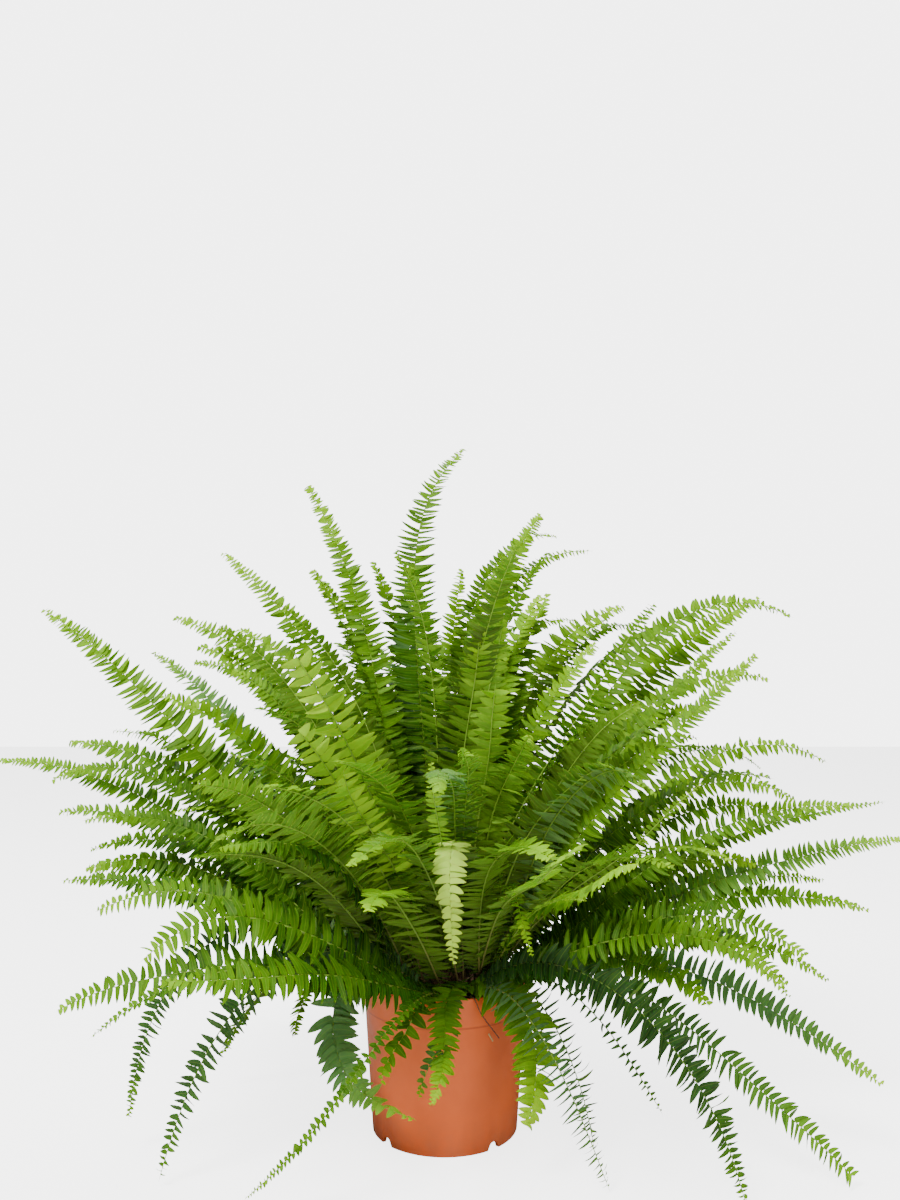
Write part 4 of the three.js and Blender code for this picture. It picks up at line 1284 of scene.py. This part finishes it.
class Gathered:
    """The points, quads and values of many small shapes, one after another."""

    def __init__(self):
        self.points, self.quads, self.finishes, self.uvs, self.under = [], [], [], [], []
        self.values = {name: [] for name in POINT_VALUES}
        self.total = 0

    def add(self, finish, points, quads, uvs=None, under=None, **values):
        """Adds shapes of one finish; what isn't given is zero all over."""
        self.points.append(points)
        self.quads.append(quads + self.total)
        self.finishes.append(np.full(len(quads), finish))
        self.uvs.append(np.zeros((quads.size, 2)) if uvs is None else uvs)
        self.under.append(np.zeros(len(quads)) if under is None else under)
        for name in POINT_VALUES:
            self.values[name].append(values.get(name, np.zeros(len(points))))
        self.total += len(points)


def quad_mesh(name, points, quads):
    """A mesh of quads from arrays."""
    mesh = bpy.data.meshes.new(name)
    mesh.vertices.add(len(points))
    mesh.vertices.foreach_set("co", points.astype(np.float32).ravel())
    mesh.loops.add(quads.size)
    mesh.loops.foreach_set("vertex_index", quads.astype(np.int32).ravel())
    mesh.polygons.add(len(quads))
    mesh.polygons.foreach_set("loop_start", np.arange(0, quads.size, 4, dtype=np.int32))
    mesh.update(calc_edges=True)
    return mesh


def add_values(mesh, name, values, domain):
    """Gives a mesh one value for each point or face."""
    mesh.attributes.new(name, "FLOAT", domain).data.foreach_set("value", values.astype(np.float32))


print("each point carries:", *POINT_VALUES)

# %% The leaflets of one frond
AGE_AND_SHADE_AT_FOOT = 0.45  # how much darker a frond's lowest leaflets are: partly older, partly painted shade of the plant's inside
UNLIKE = 0.2  # how much neighbouring leaflets differ in age
FADED_FROM, FADED_FULLY = 0.5, 0.65  # shares of the stalk between which fading sets in


def frond_ages(frond, leaves):
    """How young and faded each leaflet is, its bluish painted sheen, and a darker foot that is partly
    painted shade.
    """
    u = leaves["u"]
    fresh_share, fresh_look = frond.fresh
    tip = np.clip((u - 1) / fresh_share + 1, 0, 1) ** 1.5
    # the lowest leaflets are darkened, partly for age and partly as painted shade of the plant's inside
    youth = frond.youth - AGE_AND_SHADE_AT_FOOT * (1 - u) ** 1.5 + (leaves["chance"] - 0.5) * UNLIKE
    youth += (1 - youth) * fresh_look * tip
    faded = np.clip((u - FADED_FROM) / (FADED_FULLY - FADED_FROM), 0, 1)
    return {"youth": youth, "frost": frond.frost * (1 - tip), "fade": frond.fade * faded,
            "chance": leaves["chance"], "share": u}


def add_leaflets(gathered, frond):
    """Lays the leaflets of a frond; those of one side are mirrored, so their faces are turned."""
    leaves = leaflet_rows(frond)
    laid = bend_pattern(leaves)
    count, size = laid.shape[:2]
    mirrored = leaves["mirrored"][:, None, None]
    corners = np.where(mirrored, LEAF_FACES[None, :, ::-1], LEAF_FACES[None])
    quads = corners + (np.arange(count) * size)[:, None, None]
    values = {name: np.repeat(value, size) for name, value in frond_ages(frond, leaves).items()}
    gathered.add(LEAF, laid.reshape(-1, 3), quads.reshape(-1, 4), LEAF_UV[corners.reshape(-1)],
                 np.tile(LEAF_UNDER, count), **values)


# part of this darkening at the foot is painted shade
print("a frond's lowest leaflets look older by", AGE_AND_SHADE_AT_FOOT)

# %% One mesh for a crown and its fronds
SHARP_RIM = math.radians(61)  # a leaflet's rim is steeper than this, a stalk's sides are not


def grow_crown(crown, *finishes):
    """All leaflets, stalks and scales of a crown as one piece; finishes are in that order."""
    gathered = Gathered()
    for frond in crown["fronds"]:
        add_leaflets(gathered, frond)
        points, quads, share = stalk_arrays(frond)
        gathered.add(STALK, points, quads, share=share)
    gathered.add(SCALE, *crown_arrays(crown))
    mesh = quad_mesh(crown["name"], np.concatenate(gathered.points), np.concatenate(gathered.quads))
    uvs = np.concatenate(gathered.uvs).astype(np.float32)
    mesh.uv_layers.new(name="leaf").uv.foreach_set("vector", uvs.ravel())
    for name, values in gathered.values.items():
        add_values(mesh, name, np.concatenate(values), "POINT")
    add_values(mesh, "underside", np.concatenate(gathered.under), "FACE")
    for finish in finishes:
        mesh.materials.append(finish)
    slots = np.concatenate(gathered.finishes).astype(np.int32)
    mesh.polygons.foreach_set("material_index", slots)
    mesh.polygons.foreach_set("use_smooth", np.ones(len(mesh.polygons), dtype=bool))
    mesh.set_sharp_from_angle(angle=SHARP_RIM)
    return new_object("leafy_" + crown["name"], mesh)


print("leaflets have sharp rims from", round(math.degrees(SHARP_RIM)), "degrees")

# %% [markdown]
# ## Leaf green
# One finish serves every leaflet. Attributes tell it how young a leaflet is, how faded, and how much
# bluish painted sheen, the sky's reflection, is mixed into its green. Old leaflets are a deep green,
# young ones and the tips of fronds a bright lime. The midrib is paler, fine side veins run to the
# margin, the underside is duller and, on old fronds, carries two rows of brown spore dots. A leaf is
# thin, so a share of the light passes through it.


# %% The leaflet's finish
VEIN_WAVES = 110.0
SPORE_ROW = 0.26  # how far from the midrib the spore dots stand
ROW_EDGE = 11.0
SPORE_WAVES = 88.0
YOUNG_FROM = 0.5


def leaf_colour(tree, off_midrib, x):
    """The green of a leaflet by its age, with its midrib, and the underside's with spore dots."""
    patches = add_group(tree, MOTTLE, Scale=45, Low=-0.07, High=0.07, Detail=3)
    age = add_maths(tree, "ADD", add_attribute(tree, "youth"), patches, clamp=True)
    green = add_ramp(tree, age, [
        (0.0, (0.008, 0.028, 0.003)), (0.3, (0.030, 0.085, 0.002)), (0.58, (0.080, 0.195, 0.001)),
        (0.82, (0.19, 0.40, 0.001)), (1.0, (0.34, 0.62, 0.004))])
    # a bluish painted sheen: the sky's reflection on old leaflets, mixed into their green
    green = add_mix(tree, add_attribute(tree, "frost"), green, (0.095, 0.215, 0.070))
    green = add_mix(tree, add_attribute(tree, "fade"), green, (0.50, 0.74, 0.06))
    midrib = add_range(tree, off_midrib, 0.02, 0.07, 0.13, 0)
    green = add_mix(tree, midrib, green, (0.36, 0.52, 0.06))
    pale = add_mix(tree, 0.3, green, (0.17, 0.30, 0.04))
    off_row = add_maths(tree, "ABSOLUTE", add_maths(tree, "SUBTRACT", off_midrib, SPORE_ROW))
    row = add_maths(tree, "MULTIPLY", off_row, ROW_EDGE)
    in_row = add_maths(tree, "SUBTRACT", 1.0, row, clamp=True)
    beads = add_maths(tree, "SINE", add_maths(tree, "MULTIPLY", x, SPORE_WAVES), clamp=True)
    is_old = add_maths(tree, "LESS_THAN", age, YOUNG_FROM)
    dots = add_maths(tree, "MULTIPLY", add_maths(tree, "MULTIPLY", in_row, beads), is_old)
    pale = add_mix(tree, dots, pale, (0.10, 0.045, 0.012))
    return add_mix(tree, add_attribute(tree, "underside"), green, pale)


def leaf_finish():
    """A soft, thin leaf that lets some light through, with fine side veins."""
    material, tree, shader = new_material("fern_leaf")
    uv = tree.nodes.new("ShaderNodeUVMap")
    uv.uv_map = "leaf"
    parts = add_parts(tree, uv.outputs["UV"])
    off_midrib = add_maths(tree, "ABSOLUTE", add_maths(tree, "SUBTRACT", parts["Y"], 0.5))
    tree.links.new(leaf_colour(tree, off_midrib, parts["X"]), shader.inputs["Base Color"])
    duller = add_maths(tree, "MULTIPLY", add_attribute(tree, "underside"), 0.2)
    rough = add_maths(tree, "ADD", duller, 0.40)
    own_share = add_maths(tree, "MULTIPLY", add_attribute(tree, "chance"), 0.12)
    tree.links.new(add_maths(tree, "ADD", rough, own_share), shader.inputs["Roughness"])
    shader.inputs["Specular IOR Level"].default_value = 0.09
    shader.inputs["Specular Tint"].default_value = (0.85, 1.0, 0.6, 1)
    shader.inputs["Subsurface Weight"].default_value = 0.3
    shader.inputs["Subsurface Radius"].default_value = (0.4, 1.0, 0.1)
    shader.inputs["Subsurface Scale"].default_value = 1.5 * MM
    slant = add_maths(tree, "SUBTRACT", parts["X"], add_maths(tree, "MULTIPLY", off_midrib, 0.5))
    veins = add_maths(tree, "SINE", add_maths(tree, "MULTIPLY", slant, VEIN_WAVES))
    add_bump(tree, shader, veins, 0.12, 0.4 * MM)
    return material


fern_leaf = leaf_finish()
print("finish:", fern_leaf.name)


# %% The stalk's finish
def stalk_finish():
    """Brown at the foot of a stalk, then green and paler towards its tip."""
    material, tree, shader = new_material("fern_stalk", 0.55)
    streaks = add_group(tree, MOTTLE, Scale=150, Low=-0.06, High=0.06, Detail=3)
    place = add_maths(tree, "ADD", add_attribute(tree, "share"), streaks, clamp=True)
    colour = add_ramp(tree, place, [
        (0.0, (0.09, 0.045, 0.015)), (0.12, (0.16, 0.15, 0.03)), (0.4, (0.14, 0.25, 0.02)),
        (1.0, (0.22, 0.40, 0.02))])
    tree.links.new(colour, shader.inputs["Base Color"])
    add_bump(tree, shader, streaks, 0.3, 0.5 * MM)
    return material


fern_stalk = stalk_finish()
print("finish:", fern_stalk.name)


# %% Brown scales and dry fibres
def fibre_finish(name, dark, light):
    """A dull, dry finish between two browns."""
    material, tree, shader = new_material(name, 0.8)
    tone = add_group(tree, MOTTLE, Scale=130, Low=0, High=1, Detail=3)
    tree.links.new(add_ramp(tree, tone, [(0, dark), (1, light)]), shader.inputs["Base Color"])
    strands = add_group(tree, MOTTLE, Scale=900, Low=0, High=1, Detail=2)
    add_bump(tree, shader, strands, 0.4, 0.4 * MM)
    return material


brown_scale = fibre_finish("brown_scale", (0.035, 0.016, 0.006), (0.19, 0.10, 0.04))
dry_fibre = fibre_finish("dry_fibre", (0.05, 0.03, 0.016), (0.32, 0.22, 0.12))
print("finishes:", brown_scale.name, dry_fibre.name)

# %% Growing every crown
for crown in crowns:
    piece = grow_crown(crown, fern_leaf, fern_stalk, brown_scale)
    settle(piece, piece.name, "frond", crown["name"])

# %% [markdown]
# ## What lies on the compost and the pot
# Fine roots and peat fibres cover the compost. A dry runner, the thread by which this fern spreads,
# hangs over the rim at the front, and a pale scrap of leaf sticks to the wall below it.

# %% Fibres on the compost
FIBRES, FIBRE_THICKNESS = 420, 0.4 * MM
STUBS, STUB_THICKNESS = 260, 1.0 * MM  # stiff remains of old stalks and roots


def on_compost(radius, angle):
    """Places on top of the compost."""
    return np.stack((radius * np.cos(angle), radius * np.sin(angle), compost_top(radius)), axis=1)


radius = COMPOST_RADIUS * np.sqrt(fur.uniform(0, 0.94, FIBRES))
roots = on_compost(radius, fur.uniform(0, math.tau, FIBRES))
headings = fur.uniform(0, math.tau, FIBRES)
climbs = fur.uniform(-0.1, 0.25, FIBRES)
lengths = fur.uniform(6, 20, FIBRES) * MM
fibres = lay_strands(roots, headings, climbs, lengths, FIBRE_THICKNESS, fur.uniform(0.05, 0.3, FIBRES))
reach = np.hypot(fibres[:, :, 0], fibres[:, :, 1]).max(axis=1)
fibres = fibres[reach < COMPOST_RADIUS]

angle = fur.uniform(0, math.tau, STUBS)
radius = fur.uniform(52, 72, STUBS) * MM
headings = angle + fur.normal(0, 1.2, STUBS)
climbs = fur.uniform(0.3, 1.4, STUBS)
lengths = fur.uniform(10, 24, STUBS) * MM
stubs = lay_strands(on_compost(radius, angle), headings, climbs, lengths, STUB_THICKNESS,
                    fur.uniform(0.05, 0.35, STUBS))
reach = np.hypot(stubs[:, :, 0], stubs[:, :, 1]).max(axis=1)
above_wall = stubs[:, :, 2].min(axis=1) >= compost_top(RIM_RADIUS)
stubs = stubs[(reach < COMPOST_RADIUS - MM) | above_wall & (reach < RIM_RADIUS)]

strands = np.concatenate((fibres, stubs))
mesh = quad_mesh("peat_fibres", strands.reshape(-1, 3), copies_of(
    STRAND_FACES, len(STRAND_POINTS), len(strands)))
mesh.materials.append(dry_fibre)
settle(new_object("peat_fibres", mesh), "peat_fibres", "compost")


# %% The runner and the scrap
RUNNER_PLACES = [(14, -58, 134), (20, -68, 139), (25, -76, 147), (29, -82, 143), (32, -80.5, 134),
                 (38, -76, 124), (45, -71.5, 114), (51, -67, 105)]
SCRAP_PLACES = [(41, -70, 110), (43, -70, 107), (45, -68.6, 103)]


def thread(name, places, radius):
    """A smooth closed tube through places in millimetres."""
    curve = bpy.data.curves.new(name, "CURVE")
    curve.dimensions = "3D"
    curve.bevel_depth = radius
    curve.bevel_resolution = 2
    curve.use_fill_caps = True
    spline = curve.splines.new("NURBS")
    spline.points.add(len(places) - 1)
    for point, (x, y, z) in zip(spline.points, places):
        point.co = (x * MM, y * MM, z * MM, 1)
    spline.use_endpoint_u = True
    spline.order_u = 3
    spline.resolution_u = 6
    make_active(new_object(name, curve))
    bpy.ops.object.convert(target="MESH")
    return bpy.context.object


runner = thread("dry_runner", RUNNER_PLACES, 0.5 * MM)
runner.data.materials.append(brown_scale)
settle(runner, "dry_runner", "frond")
scrap = thread("dry_scrap", SCRAP_PLACES, 0.8 * MM)
scrap.data.materials.append(fibre_finish("pale_scrap", (0.50, 0.27, 0.10), (0.66, 0.42, 0.18)))
settle(scrap, "dry_scrap", "frond")
